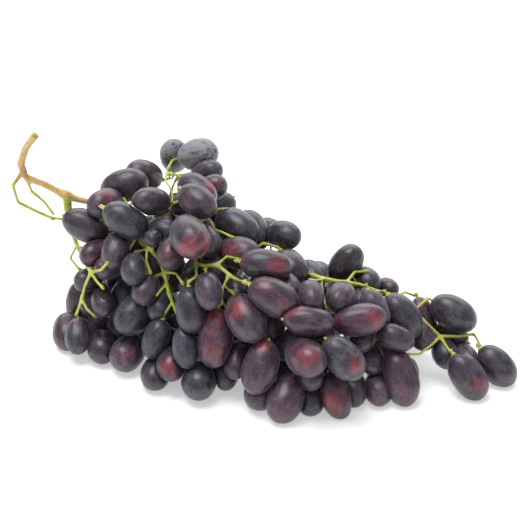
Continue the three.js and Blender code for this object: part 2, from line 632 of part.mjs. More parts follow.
// The cheapest way from every free cell to the stem, keeping inside the heap and off the berries
function waysToStem(beads) {
  const field = roomField();
  const cost = new Float32Array(field.length).fill(Infinity);
  const towards = new Int32Array(field.length).fill(-1);
  const sources = new Map();
  const queue = new CheapestFirst();
  for (const bead of beads) {
    const index = cellIndex(bead.centre);
    sources.set(index, bead);
    cost[index] = 0;
    queue.push({ index, cost: 0 });
  }
  while (queue.entries.length > 0) {
    const { index, cost: spent } = queue.pop();
    if (spent > cost[index]) continue;
    const place = cellPlace(index);
    for (const neighbour of neighbours) {
      const next = place.clone().addScaledVector(neighbour, cell);
      const nextIndex = cellIndex(next);
      if (field[nextIndex] < pedicelRoom || next.z < low.z + cell) continue;
      const outside = Math.max(0, heapLevel(next, wayCost.margin) - wayCost.shallow);
      const dearness = 1 + wayCost.narrow / field[nextIndex] + wayCost.outside * outside;
      const step = neighbour.length() * cell * dearness;
      if (spent + step < cost[nextIndex]) {
        cost[nextIndex] = spent + step;
        towards[nextIndex] = index;
        queue.push({ index: nextIndex, cost: spent + step });
      }
    }
  }
  return { cost, towards, sources };
}

// A knot is a point of the stem with a way on towards the root
function growPedicels() {
  const beads = chains.flat();
  const { cost, towards, sources } = waysToStem(beads);
  const knots = new Map();
  for (const [index, bead] of sources) {
    knots.set(index, { place: bead.centre, load: 0, fixed: true, piece: bead.piece });
  }
  const twigs = [];
  const nearest = (berry) => {
    const tip = berry.centre.clone().addScaledVector(berry.axis, berry.a * facetSwell + pedicel.radius + 1.4);
    let best = { worth: Infinity };
    for (const step of tipCells) {
      const index = cellIndex(tip.clone().addScaledVector(step, cell));
      if (!Number.isFinite(cost[index])) continue;
      const away = cellPlace(index).distanceTo(tip);
      const worth = cost[index] * 0.3 + away * 2;
      if (worth < best.worth) best = { worth, index, away };
    }
    return best;
  };
  const order = berries.map((berry) => ({ berry, start: nearest(berry) }))
    .filter(({ berry, start }) => start.index !== undefined && start.away < tipReach
      && (berry.seen || heapLevel(berry.centre, fullBerry.width / 2) > 0.5))
    .sort((one, two) => cost[one.start.index] - cost[two.start.index]);
  for (const { berry, start } of order) {
    const way = [];
    for (let index = start.index; !knots.has(index); index = towards[index]) way.push(index);
    if ((way.length + 1) * cell > pedicel.longest) continue;
    const beyond = berry.a * facetSwell + nodeGap + receptacleRadius / 2;
    const end = berry.centre.clone().addScaledVector(berry.axis, beyond);
    const twig = [{ place: end, load: 0, fixed: true }];
    twig.berry = berry;
    const root = knots.get(way.length > 0 ? towards[way.at(-1)] : start.index);
    for (const index of way) {
      const knot = { place: cellPlace(index), load: 0, piece: twig };
      knots.set(index, knot);
      twig.push(knot);
    }
    twig.push(root);
    for (let k = 1; k < twig.length; k += 1) twig[k - 1].next = twig[k];
    for (let knot = twig[0]; knot; knot = knot.next) knot.load += 1;
    twigs.push(twig);
  }
  for (let round = 0; round < 12; round += 1) {
    for (const twig of twigs) {
      for (let k = 1; k < twig.length - 1; k += 1) {
        if (twig[k].fixed) continue;
        const between = twig[k - 1].place.clone().add(twig[k + 1].place).multiplyScalar(0.5);
        twig[k].place.lerp(between, 0.5);
        clearOfBerries(twig[k].place, pedicelRoom);
      }
    }
  }
  return twigs;
}

function clearOfBerries(place, room) {
  for (const { centre, radius } of balls) {
    const short = radius + room - place.distanceTo(centre);
    if (short > 0) place.add(place.clone().sub(centre).setLength(short));
  }
}

// Solids
function solidOf(geometry) {
  geometry.deleteAttribute('normal');
  geometry.deleteAttribute('uv');
  const merged = mergeVertices(geometry, 1e-4);
  return new wasm.Manifold(new wasm.Mesh({
    numProp: 3,
    vertProperties: new Float32Array(merged.attributes.position.array),
    triVerts: new Uint32Array(merged.index.array),
  }));
}

// The line that a piece of stem is drawn along, its root moved onto the line of the piece it grows from
function nearestOnLine(line, place) {
  let best = { away: Infinity };
  for (let k = 1; k < line.length; k += 1) {
    const spot = new THREE.Line3(line[k - 1], line[k]).closestPointToPoint(place, true, new THREE.Vector3());
    const away = spot.distanceTo(place);
    if (away < best.away) best = { away, spot };
  }
  return best.spot;
}

function drawnPiece(points, radiusAt, sides, stepLength) {
  const path = new THREE.CatmullRomCurve3(points);
  const steps = Math.max(2, Math.ceil(path.getLength() / stepLength));
  return { path, steps, sides, line: path.getSpacedPoints(steps), radiusAt };
}

function drawnBranch(chain) {
  const points = chain.map((bead) => bead.centre);
  if (chain.parent) points[0] = nearestOnLine(chain.parent.piece.drawn.line, chain[0].centre);
  const radiusAt = (share) => chain[Math.round(share * (chain.length - 1))].b;
  const sides = chain[0].b > thinBranch ? stemFacets.thickSides : stemFacets.thinSides;
  chain.drawn = drawnPiece(points, radiusAt, sides, stemFacets.step);
  return chain.drawn;
}

function drawnPedicel(twig) {
  const root = nearestOnLine(twig.at(-1).piece.drawn.line, twig.at(-1).place);
  const points = [twig[0].place];
  for (const { place } of twig.slice(1, -1)) {
    if (Math.min(place.distanceTo(points.at(-1)), place.distanceTo(root)) > cell) points.push(place);
  }
  points.push(root);
  const radiusAt = (share) => {
    if (share === 0) return receptacleRadius;
    const knot = twig[Math.min(twig.length - 2, Math.round(share * (twig.length - 1)))];
    return Math.min(pedicel.thickest, pedicel.radius + pedicel.growth * (knot.load - 1));
  };
  twig.drawn = drawnPiece(points, radiusAt, pedicel.sides, pedicel.step);
  return twig.drawn;
}

// A round-sided tube along a drawn line, as thick at each ring as radiusAt says
function tubeSolid({ path, steps, sides, line, radiusAt }) {
  const section = new THREE.Shape(Array.from({ length: sides }, (_, k) =>
    new THREE.Vector2(Math.cos(k / sides * 2 * Math.PI), Math.sin(k / sides * 2 * Math.PI))));
  const geometry = new THREE.ExtrudeGeometry(section, { steps, extrudePath: path, curveSegments: 1 });
  const position = geometry.attributes.position;
  for (let k = 0; k < position.count; k += 1) {
    const vertex = new THREE.Vector3().fromBufferAttribute(position, k);
    const gaps = line.map((ring) => Math.abs(ring.distanceTo(vertex) - 1));
    const ring = gaps.indexOf(Math.min(...gaps));
    vertex.sub(line[ring]).multiplyScalar(radiusAt(ring / steps)).add(line[ring]);
    position.setXYZ(k, vertex.x, vertex.y, vertex.z);
  }
  return solidOf(geometry);
}

function berrySolid(body) {
  const facets = body.seen ? berryFacets : hiddenFacets;
  const geometry = new THREE.SphereGeometry(1, facets.round, facets.long);
  geometry.scale(body.b * facetSwell, body.a * facetSwell, body.b * facetSwell);
  geometry.applyQuaternion(new THREE.Quaternion().setFromUnitVectors(new THREE.Vector3(0, 1, 0), body.axis));
  geometry.translate(...body.centre.toArray());
  return solidOf(geometry);
}

// What is left of a solid behind a plane
function keptBehind(solid, normal, limit) {
  return solid.trimByPlane(normal.clone().negate().toArray(), -limit);
}

// Each berry is cut flat where it meets the surface and a berry of another group
function trimmedBerry(body) {
  let solid = berrySolid(body).trimByPlane([0, 0, 1], 0);
  for (const other of berries) {
    if (other === body || other.group === body.group) continue;
    if (other.centre.distanceTo(body.centre) > other.a + body.a + 3) continue;
    const contact = gapBetween(swollen(body), swollen(other));
    if (contact.gap > nodeGap) continue;
    const { first, second, normal } = contact;
    const faceOne = first.centre.dot(normal) + first.radius;
    const faceTwo = second.centre.dot(normal) - second.radius;
    const limit = (faceOne + faceTwo) / 2 - nodeGap / 2;
    solid = keptBehind(solid, normal, limit);
  }
  return solid;
}

const twigs = growPedicels();
const pieces = [...chains.map(drawnBranch), ...twigs.map(drawnPedicel)];
const stem = wasm.Manifold.union(pieces.map(tubeSolid));

// A berry that a stem comes too close to is cut flat beside it
function besideStem(solid, body) {
  let left = solid;
  const inside = ballsInside(swollen(body), ballShares.drawing);
  for (const { line, steps, radiusAt } of pieces) {
    for (let k = 1; k < line.length; k += 1) {
      if (body.centre.distanceTo(line[k]) > body.a + 1.5 * stemFacets.step) continue;
      const segment = new THREE.Line3(line[k - 1], line[k]);
      let deepest = { depth: 0 };
      for (const { centre, radius } of inside) {
        const share = segment.closestPointToPointParameter(centre, true);
        const spot = segment.at(share, new THREE.Vector3());
        const thick = THREE.MathUtils.lerp(radiusAt((k - 1) / steps), radiusAt(k / steps), share);
        const away = spot.distanceTo(centre) - thick - stemGap;
        if (radius - away > deepest.depth) {
          const normal = spot.sub(centre).normalize();
          deepest = { depth: radius - away, normal, limit: centre.dot(normal) + away };
        }
      }
      if (deepest.depth > 0) left = keptBehind(left, deepest.normal, deepest.limit);
    }
  }
  return left;
}

// Berries of one group that touch are one node, and a clump that the rest doesn't reach is its own
function clumps(name) {
  const members = berries.filter((berry) => berry.group === name);
  return wasm.Manifold.union(members.map((body) => besideStem(trimmedBerry(body), body)))
    .subtract(stem)
    .decompose()
    .filter((clump) => clump.volume() > scrap)
    .sort((one, two) => two.volume() - one.volume())
    .map((solid, index) => ({ name: index === 0 ? name : `${name}_${index + 1}`, solid }));
}

const groupNames = [...new Set(berries.map((berry) => berry.group))];
const parts = [{ name: 'stem', solid: stem, finish: stemFinish }];
for (const name of groupNames) {
  for (const clump of clumps(name)) parts.push({ ...clump, finish: berryFinish });
}

// The origin goes under the middle of the bunch
const boxes = parts.map(({ solid }) => solid.boundingBox());
const middle = [0, 1].map((key) => {
  const lowest = Math.min(...boxes.map(({ min }) => min[key]));
  const highest = Math.max(...boxes.map(({ max }) => max[key]));
  return (lowest + highest) / 2;
});

const group = new THREE.Group();
for (const { name, solid, finish } of parts) {
  const mesh = solid.translate([-middle[0], -middle[1], 0]).getMesh();
  const geometry = new THREE.BufferGeometry();
  geometry.setAttribute('position', new THREE.BufferAttribute(mesh.vertProperties, 3));
  geometry.setIndex(new THREE.BufferAttribute(mesh.triVerts, 1));
  geometry.computeVertexNormals();
  const part = new THREE.Mesh(geometry, new THREE.MeshStandardMaterial(finish));
  part.name = name;
  group.add(part);
}

export default group;
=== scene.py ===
# A bunch of dark oval table grapes lying on a pale surface, in metres.
import math
import random

import bmesh
import bpy
import numpy as np
from mathutils import Matrix, Vector


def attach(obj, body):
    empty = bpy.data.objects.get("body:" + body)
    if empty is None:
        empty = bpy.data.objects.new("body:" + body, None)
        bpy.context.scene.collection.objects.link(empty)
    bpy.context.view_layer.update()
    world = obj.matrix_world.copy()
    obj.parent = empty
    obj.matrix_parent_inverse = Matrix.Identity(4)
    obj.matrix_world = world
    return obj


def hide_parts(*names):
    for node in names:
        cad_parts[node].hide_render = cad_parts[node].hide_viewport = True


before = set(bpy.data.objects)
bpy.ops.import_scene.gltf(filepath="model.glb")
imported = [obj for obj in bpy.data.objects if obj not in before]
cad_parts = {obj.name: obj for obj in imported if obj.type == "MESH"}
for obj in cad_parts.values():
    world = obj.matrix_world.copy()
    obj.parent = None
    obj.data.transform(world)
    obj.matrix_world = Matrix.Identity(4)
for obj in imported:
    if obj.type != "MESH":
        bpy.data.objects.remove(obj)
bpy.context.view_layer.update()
mm = 0.001
print("frame loaded:", len(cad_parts), "nodes")

# Camera: the photograph's own view, so many millimetres to a pixel at the aim point
viewpoint = {
    "aim": Vector((0.58, -5.60, 54.0)),
    "distance": 850.0,
    "elevation": math.radians(30),
    "pixel": 0.52,
    "middle": 262.0,
}
forward = Vector((0, math.cos(viewpoint["elevation"]), -math.sin(viewpoint["elevation"])))
upward = Vector((0, math.sin(viewpoint["elevation"]), math.cos(viewpoint["elevation"])))
eye = viewpoint["aim"] - forward * viewpoint["distance"]


def makeCamera():
    data = bpy.data.cameras.new("camera")
    data.sensor_width = 36.0
    data.angle = 2 * math.atan(viewpoint["middle"] * viewpoint["pixel"] / viewpoint["distance"])
    camera = bpy.data.objects.new("camera", data)
    camera.location = eye * mm
    camera.rotation_euler = (math.pi / 2 - viewpoint["elevation"], 0, 0)
    bpy.context.scene.collection.objects.link(camera)
    bpy.context.scene.camera = camera


def shownAt(places):
    # the pixels where places in millimetres show in the photograph's frame, and how deep they lie
    away = places - np.array(eye)
    depth = away @ np.array(forward)
    scale = viewpoint["distance"] / viewpoint["pixel"] / depth
    across = viewpoint["middle"] + away[:, 0] * scale
    down = viewpoint["middle"] - away @ np.array(upward) * scale
    return np.stack([across, down], 1), depth


makeCamera()


# Node trees: a wire is a socket that can be added, multiplied and so on
class Wire:
    def __init__(self, graph, socket):
        self.graph = graph
        self.socket = socket

    def sum(self, operation, *values):
        return self.graph.add("ShaderNodeMath", {"operation": operation}, list(values))

    def __add__(self, other):
        return self.sum("ADD", self, other)

    def __radd__(self, other):
        return self.sum("ADD", other, self)

    def __sub__(self, other):
        return self.sum("SUBTRACT", self, other)

    def __rsub__(self, other):
        return self.sum("SUBTRACT", other, self)

    def __mul__(self, other):
        return self.sum("MULTIPLY", self, other)

    def __rmul__(self, other):
        return self.sum("MULTIPLY", other, self)

    def __truediv__(self, other):
        return self.sum("DIVIDE", self, other)

    def __rtruediv__(self, other):
        return self.sum("DIVIDE", other, self)

    def max(self, other):
        return self.sum("MAXIMUM", self, other)

    def min(self, other):
        return self.sum("MINIMUM", self, other)

    def out(self, name):
        return Wire(self.graph, self.socket.node.outputs[name])


class Graph:
    def __init__(self, tree):
        self.tree = tree

    def add(self, kind, settings=None, values=None, output=0):
        # a node of one kind: its settings first, then the values or wires of its sockets
        node = self.tree.nodes.new(kind)
        for name, setting in (settings or {}).items():
            setattr(node, name, setting)
        pairs = enumerate(values) if isinstance(values, list) else (values or {}).items()
        for name, value in pairs:
            if isinstance(value, Wire):
                self.tree.links.new(value.socket, node.inputs[name])
            else:
                node.inputs[name].default_value = value
        return Wire(self, node.outputs[output]) if node.outputs else node

    def mix(self, share, low, high):
        node = self.tree.nodes.new("ShaderNodeMix")
        node.data_type = "RGBA"
        for index, value in ((0, share), (6, low), (7, high)):
            if isinstance(value, Wire):
                self.tree.links.new(value.socket, node.inputs[index])
            else:
                node.inputs[index].default_value = value
        return Wire(self, node.outputs[2])

    def step(self, value, low, high):
        # goes smoothly from 0 at low to 1 at high, also where low is the larger
        return self.add("ShaderNodeMapRange", {"interpolation_type": "SMOOTHSTEP", "clamp": True},
                        {"Value": value, "From Min": low, "From Max": high})

    def noise(self, place, scale, detail=2.0, roughness=0.5, distortion=0.0):
        return self.add("ShaderNodeTexNoise", None, {"Vector": place, "Scale": scale, "Detail": detail,
                                                     "Roughness": roughness, "Distortion": distortion})


# Berries: each is found again in the CAD nodes, whose facets are those of a cut-up oval
berryFit = {
    "swell": 1.06,        # the facets are drawn this much larger than the berry
    "ratio": 26 / 17.5,   # least length to width
    "sides": {"seen": 7, "hidden": 5},
    "widths": (4.4, 5.4, 6.6, 7.8, 9.0, 10.2),   # half widths tried, in millimetres
    "directions": 220,
    "tolerances": (0.12, 0.035),    # loose while searching, then tight
    "goodEnough": 0.12,   # share of the facets that may be unexplained
    "least": 10.0,        # square millimetres of facets that make a berry worth finding
    "crease": -0.01,      # angle under which an edge parts two berries
    "rounds": 25,
    "nudge": 1e-4,
    "narrowest": 4.0,     # half widths, in millimetres
    "widest": 11.5,
    "longest": 2.1,       # most length to width
    "twins": 4,           # millimetres between two finds of the same berry
    "stalkReach": 1.15,   # half lengths from the middle to where a stalk begins
}


def mergedCopy(node):
    shape = bmesh.new()
    shape.from_mesh(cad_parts[node].data)
    bmesh.ops.remove_doubles(shape, verts=shape.verts, dist=1e-6)
    shape.normal_update()
    return shape


def lobesOf(shape):
    # faces of one berry: those that can be reached without crossing a crease
    shape.faces.ensure_lookup_table()
    waiting = set(shape.faces)
    lobes = []
    for start in shape.faces:
        if start not in waiting:
            continue
        waiting.discard(start)
        lobe, edge = [start], [start]
        while edge:
            face = edge.pop()
            for side in face.edges:
                if len(side.link_faces) != 2 or side.calc_face_angle_signed(0) < berryFit["crease"]:
                    continue
                for other in side.link_faces:
                    if other in waiting:
                        waiting.discard(other)
                        lobe.append(other)
                        edge.append(other)
        lobes.append(lobe)
    return lobes


def facetsOf(lobe):
    normals = np.array([face.normal for face in lobe])
    middles = np.array([face.calc_center_median() for face in lobe]) / mm
    areas = np.array([face.calc_area() for face in lobe]) / mm ** 2
    return normals, np.einsum("ij,ij->i", normals, middles), areas, middles


def facetRule(sides):
    # rise and reach, on a ball of radius 1, of the facets at the ends and round the middle
    high = math.sin(math.pi / 4)
    ring, waist = high * math.cos(math.pi / sides), math.cos(math.pi / sides)
    end = ring / math.hypot(ring, 1 - high)
    slope = math.hypot(waist - ring, high)
    return np.array([[end, end], [(waist - ring) / slope, high * waist / slope]])


def misfit(shape, facets, rule):
    # how far each facet is from one that an oval of this centre, axis and size would have
    normals, offsets = facets[:2]
    centre, axis, long, wide = shape[:3], shape[3:6], math.exp(shape[6]), math.exp(shape[7])
    axis = axis / np.linalg.norm(axis)
    turn = normals @ axis
    span = np.sqrt((long * turn) ** 2 + wide ** 2 * (1 - turn ** 2))
    rise = long * np.abs(turn) / span
    kind = np.abs(rise[:, None] - rule[None, :, 0]).argmin(1)
    return np.concatenate([rise - rule[kind, 0], (offsets - normals @ centre) / span - rule[kind, 1]])


def spiral(count):
    # directions spread evenly over half a ball
    steps = np.arange(count) + 0.5
    height = 1 - steps / count
    turn = steps * math.pi * (3 - math.sqrt(5))
    across = np.sqrt(1 - height ** 2)
    return np.stack([across * np.cos(turn), across * np.sin(turn), height], 1)


def fitOval(facets, rule):
    normals, offsets, areas, middles = facets
    soft = berryFit["tolerances"][0]
    directions = spiral(berryFit["directions"])
    turn = directions @ normals.T
    starts = []
    for half in berryFit["widths"]:
        wide = half * berryFit["swell"]
        long = wide * berryFit["ratio"]
        span = np.sqrt((long * turn) ** 2 + wide ** 2 * (1 - turn ** 2))
        rise = long * np.abs(turn) / span
        kind = np.abs(rise[:, :, None] - rule[None, None, :, 0]).argmin(2)
        riseMiss = rise - rule[kind, 0]
        target = offsets[None] - rule[kind, 1] * span
        weight = areas[None] / (1 + (riseMiss / soft) ** 2)
        for _ in range(4):
            grid = np.einsum("df,fi,fj->dij", weight, normals, normals) + np.eye(3) * 1e-3
            side = np.einsum("df,fi,df->di", weight, normals, target)
            side += middles.mean(0)[None] * 1e-3
            centre = np.linalg.solve(grid, side[:, :, None])[:, :, 0]
            miss = (target - centre @ normals.T) / span
            weight = areas[None] / (1 + (riseMiss / soft) ** 2 + (miss / soft) ** 2) ** 2
        spread = (riseMiss ** 2 + miss ** 2) / soft ** 2
        cost = (areas[None] * spread / (1 + spread)).sum(1)
        for index in cost.argsort()[:4]:
            starts.append((cost[index], np.concatenate(
                [centre[index], directions[index], [math.log(long), math.log(wide)]])))
    starts.sort(key=lambda start: start[0])
    best = (math.inf, None)
    for _, shape in starts[:10]:
        for soft in berryFit["tolerances"]:
            cost, shape = refine(shape, facets, rule, soft)
        if cost < best[0]:
            best = (cost, shape)
        if cost < berryFit["goodEnough"] * areas.sum():
            break
    return best


def robustCost(miss, areas, soft):
    count = len(areas)
    spread = (miss[:count] ** 2 + miss[count:] ** 2) / soft ** 2
    return (areas * spread / (1 + spread)).sum()


def refine(shape, facets, rule, soft):
    areas = facets[2]
    count = len(areas)
    damping = 1e-3
    miss = misfit(shape, facets, rule)
    cost = robustCost(miss, areas, soft)
    for _ in range(berryFit["rounds"]):
        spread = (miss[:count] ** 2 + miss[count:] ** 2) / soft ** 2
        weight = np.tile(areas / (1 + spread) ** 2, 2)
        slopes = np.empty((2 * count, 8))
        for k in range(8):
            nudge = np.zeros(8)
            nudge[k] = berryFit["nudge"]
            slopes[:, k] = (misfit(shape + nudge, facets, rule) - miss) / berryFit["nudge"]
        grid = slopes.T @ (slopes * weight[:, None])
        step = -np.linalg.solve(grid + np.diag(np.diag(grid) * damping + 1e-4), slopes.T @ (weight * miss))
        trial = shape + np.clip(step, -1.0, 1.0)
        trial[3:6] /= np.linalg.norm(trial[3:6])
        trial[7] = np.clip(trial[7], math.log(berryFit["narrowest"]), math.log(berryFit["widest"]))
        shortest = math.log(berryFit["ratio"] - 0.02)
        trial[6] = np.clip(trial[6], trial[7] + shortest, trial[7] + math.log(berryFit["longest"]))
        trialMiss = misfit(trial, facets, rule)
        trialCost = robustCost(trialMiss, areas, soft)
        if trialCost < cost:
            better = cost - trialCost
            shape, miss, cost = trial, trialMiss, trialCost
            damping = max(damping * 0.4, 1e-6)
            if better < 1e-5 * cost:
                break
        else:
            damping *= 6
            if damping > 1e4:
                break
    return cost, shape


def findBerries():
    found = []
    for node in sorted(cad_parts):
        if not node.startswith("berries"):
            continue
        kind = "hidden" if "_back" in node else "seen"
        rule = facetRule(berryFit["sides"][kind])
        shape = mergedCopy(node)
        lobes = sorted((facetsOf(lobe) for lobe in lobesOf(shape)), key=lambda facets: -facets[2].sum())
        shape.free()
        for facets in lobes:
            if facets[2].sum() < berryFit["least"]:
                continue
            _, oval = fitOval(facets, rule)
            berry = {
                "node": node,
                "kind": kind,
                "centre": oval[:3],
                "axis": oval[3:6] / np.linalg.norm(oval[3:6]),
                "long": math.exp(oval[6]) / berryFit["swell"],
                "wide": math.exp(oval[7]) / berryFit["swell"],
            }
            twin = any(other["node"] == node
                       and np.linalg.norm(other["centre"] - berry["centre"]) < berryFit["twins"]
                       for other in found)
            if not twin:
                found.append(berry)
    return found


def headingFor(berry, stemPlaces):
    # the stalk end is the one that lies nearer to the stem
    ends = [berry["centre"] + side * berry["axis"] * berry["long"] * berryFit["stalkReach"]
            for side in (1, -1)]
    near = [np.linalg.norm(stemPlaces - end, axis=1).min() for end in ends]
    if near[1] < near[0]:
        berry["axis"] = -berry["axis"]
    berry["stalkRoom"] = min(near)


# directions of the stalk ends that show: x, y in the photograph's frame, degrees anticlockwise from the right
stalkEnds = (
    (80, 230, 155), (124, 186, 195), (124, 222, 150), (154, 198, 0), (171, 154, 270), (202, 155, 188),
    (199, 180, 140), (195, 202, 142), (189, 235, 120), (171, 254, 70), (238, 221, 147), (283, 235, 165),
    (151, 239, 100), (75, 336, 92), (132, 266, 90), (125, 295, 83), (151, 286, 60), (137, 316, 47),
    (156, 342, 72), (184, 349, 97), (203, 381, 90), (222, 372, 100), (191, 305, 95), (211, 290, 100),
    (214, 337, 84), (265, 264, 172), (275, 299, 152), (246, 322, 118), (306, 321, 175), (311, 293, 95),
    (260, 366, 73), (289, 398, 65), (329, 397, 108), (304, 355, 150), (344, 355, 132), (392, 377, 105),
    (341, 261, 235), (370, 279, 140), (341, 298, 60), (374, 304, 108), (355, 321, 188), (404, 314, 125),
    (397, 341, 158), (64, 332, 95), (453, 312, 148), (467, 376, 123), (495, 365, 133), (107, 302, 110),
    (100, 328, 100),
)


def turnStalkEnds():
    for x, y, lean in stalkEnds:
        berry, _ = berryAt(x, y)
        if berry:
            seen = Vector((math.cos(math.radians(lean)), 0, 0)) + upward * math.sin(math.radians(lean))
            if np.array(seen) @ berry["axis"] < 0:
                berry["axis"] = -berry["axis"]
            end = berry["centre"] + berry["axis"] * berry["long"] * berryFit["stalkReach"]
            berry["stalkRoom"] = np.linalg.norm(stemPlaces - end, axis=1).min()


stemShape = mergedCopy("stem")
stemPlaces = np.array([corner.co for corner in stemShape.verts]) / mm
berries = findBerries()
for berry in berries:
    headingFor(berry, stemPlaces)
print("berries found:", len(berries))

# Skin: how red, how dusty and where the red patches are; a dust above 0.95 also sets a painted pale glow of
# light. Spots are read in the photograph's frame
# and land on the berry that shows there: x, y, radius in pixels, strength.
skinTones = {
    "seed": 11,
    "ripe": (0.05, 0.7),
    "dustAndGlow": (0.35, 0.9),
    "blushSpots": (
        (106, 197, 10, 0.6), (213, 190, 9, 0.8), (184, 195, 8, 0.35), (189, 248, 11, 0.95),
        (183, 243, 8, 0.5), (208, 242, 11, 0.9), (171, 250, 11, 0.4), (97, 258, 8, 0.5), (232, 254, 13, 0.6),
        (240, 262, 10, 0.4), (276, 228, 7, 0.25), (76, 320, 8, 0.4), (128, 353, 10, 0.4), (168, 365, 9, 0.7),
        (205, 290, 7, 0.3), (216, 314, 9, 0.75), (212, 352, 10, 0.6), (209, 334, 8, 0.4), (279, 266, 9, 0.8),
        (271, 258, 8, 0.3), (294, 309, 9, 0.95), (263, 285, 7, 0.45), (286, 302, 9, 0.4), (237, 309, 9, 0.95),
        (246, 305, 8, 0.4), (264, 344, 7, 0.8), (268, 352, 8, 0.35), (306, 358, 10, 0.8), (298, 350, 9, 0.35),
        (354, 366, 8, 0.8), (388, 352, 8, 0.5), (331, 404, 10, 0.8), (324, 394, 7, 0.3), (334, 324, 7, 0.7),
        (340, 316, 6, 0.4), (374, 318, 9, 0.75), (360, 328, 8, 0.3), (398, 356, 8, 0.3), (422, 300, 9, 0.5),
        (480, 384, 8, 0.6), (466, 382, 6, 0.35), (302, 296, 6, 0.35), (171, 160, 7, 0.3), (150, 168, 8, 0.3),
        (290, 404, 8, 0.25), (256, 380, 7, 0.25), (343, 300, 6, 0.25), (398, 384, 8, 0.3), (218, 184, 8, 0.6),
    ),
    # berries that stand out: x, y, how ripe, how dusty, where a dust above 0.95 adds a painted pale glow of
    # light
    "known": (
        (80, 230, 0.25, 0.55), (124, 186, 0.45, 0.6), (124, 222, 0.05, 0.5), (145, 174, 0.3, 0.7),
        (154, 198, 0.4, 0.6), (171, 154, 0.3, 1.5), (202, 155, 0.15, 1.6), (195, 202, 0.55, 0.6),
        (199, 180, 0.15, 0.55), (189, 225, 0.35, 0.75), (165, 229, 0.05, 0.45), (171, 254, 0.55, 0.45),
        (238, 221, 0.1, 0.5), (283, 235, 0.2, 0.65), (132, 266, 0.05, 0.7), (137, 316, 0.05, 0.6),
        (125, 290, 0.05, 0.45), (75, 336, 0.2, 0.6), (184, 349, 0.1, 0.65), (156, 342, 0.1, 0.55),
        (203, 381, 0.05, 0.5), (191, 309, 0.2, 0.5), (214, 337, 0.8, 0.55), (265, 264, 0.45, 0.55),
        (275, 299, 0.65, 0.55), (246, 325, 0.5, 0.65), (306, 322, 0.6, 0.6), (260, 366, 0.6, 0.5),
        (289, 398, 0.7, 0.65), (304, 355, 0.75, 0.5), (344, 352, 0.15, 0.75), (392, 377, 0.7, 0.5),
        (329, 397, 0.7, 0.4), (341, 261, 0.15, 0.5), (357, 320, 0.75, 0.6), (404, 314, 0.1, 0.55),
        (453, 312, 0.1, 0.5), (467, 370, 0.25, 0.5), (495, 365, 0.25, 0.6), (341, 298, 0.55, 0.6),
        (311, 293, 0.45, 0.6), (368, 279, 0.05, 0.5), (423, 300, 0.5, 0.5), (222, 372, 0.2, 0.35),
    ),
    "hiddenSpots": 0.4,   # share of the berries that don't show that have a red patch too
    "spotWide": 1.3,      # a patch fades out this much wider than it was read
}


def meets(berry, line):
    # where a line of sight first meets a berry, in millimetres, or None
    axis = berry["axis"]
    start = np.array(eye) - berry["centre"]

    def squeeze(vector):
        along = vector @ axis
        return (vector - along * axis) / berry["wide"] + along * axis / berry["long"]

    first, way = squeeze(start), squeeze(line)
    a, b, c = way @ way, first @ way, first @ first - 1
    room = b * b - a * c
    if room < 0:
        return None
    return (-b - math.sqrt(room)) / a


def sightLine(x, y):
    slope = viewpoint["pixel"] / viewpoint["distance"]
    across = Vector((1, 0, 0)) * (x - viewpoint["middle"]) * slope
    return np.array(forward + across + upward * (viewpoint["middle"] - y) * slope)


def berryAt(x, y):
    line = sightLine(x, y)
    hits = [(depth, index) for index, berry in enumerate(berries)
            if (depth := meets(berry, line)) is not None]
    if not hits:
        return None, None
    depth, index = min(hits)
    return berries[index], np.array(eye) + line * depth


def giveTones():
    draw = random.Random(skinTones["seed"])
    for berry in berries:
        berry["chance"] = draw.random()
        berry["ripe"] = draw.uniform(*skinTones["ripe"])
        berry["dustAndGlow"] = draw.uniform(*skinTones["dustAndGlow"])
        berry["spots"] = []
        if berry["kind"] == "hidden" and draw.random() < skinTones["hiddenSpots"]:
            towards = np.array([draw.gauss(0, 1) for _ in range(3)])
            towards /= np.linalg.norm(towards)
            spot = berry["centre"] + towards * berry["wide"]
            berry["spots"].append((spot, draw.uniform(3.5, 6.5), draw.uniform(0.3, 0.85)))
    for x, y, ripe, dustAndGlow in skinTones["known"]:
        berry, _ = berryAt(x, y)
        if berry:
            berry["ripe"], berry["dustAndGlow"] = ripe, dustAndGlow
    for x, y, radius, strength in skinTones["blushSpots"]:
        berry, place = berryAt(x, y)
        if berry:
            berry["spots"].append((place, radius * viewpoint["pixel"] * skinTones["spotWide"], strength))


turnStalkEnds()
giveTones()


# Berries are one round skin placed by a rule at every point of a node
berrySkin = {
    "facets": {"seen": 18, "hidden": 12},
    "blunt": 0.03,       # fuller shoulders than an oval's
    "egg": 0.025,        # wider towards the far end than at the stalk
    "dimple": 0.05,      # at the stalk
    "scar": 0.012,       # nub at the far end
    "uneven": 0.00045,   # metres of soft lumps
    "contact": 0.28,     # millimetres over which a pressed berry turns flat
    "touching": 0.5,     # millimetres apart, under which two berries shape each other
    "pit": 42.0,         # how narrow the dimple is, and below it the nub
    "nub": 260.0,
    "clearOfFloor": 0.05,
    "patternShift": (31.0, 57.0, 83.0),   # times a berry's own chance, so that no two look alike
}


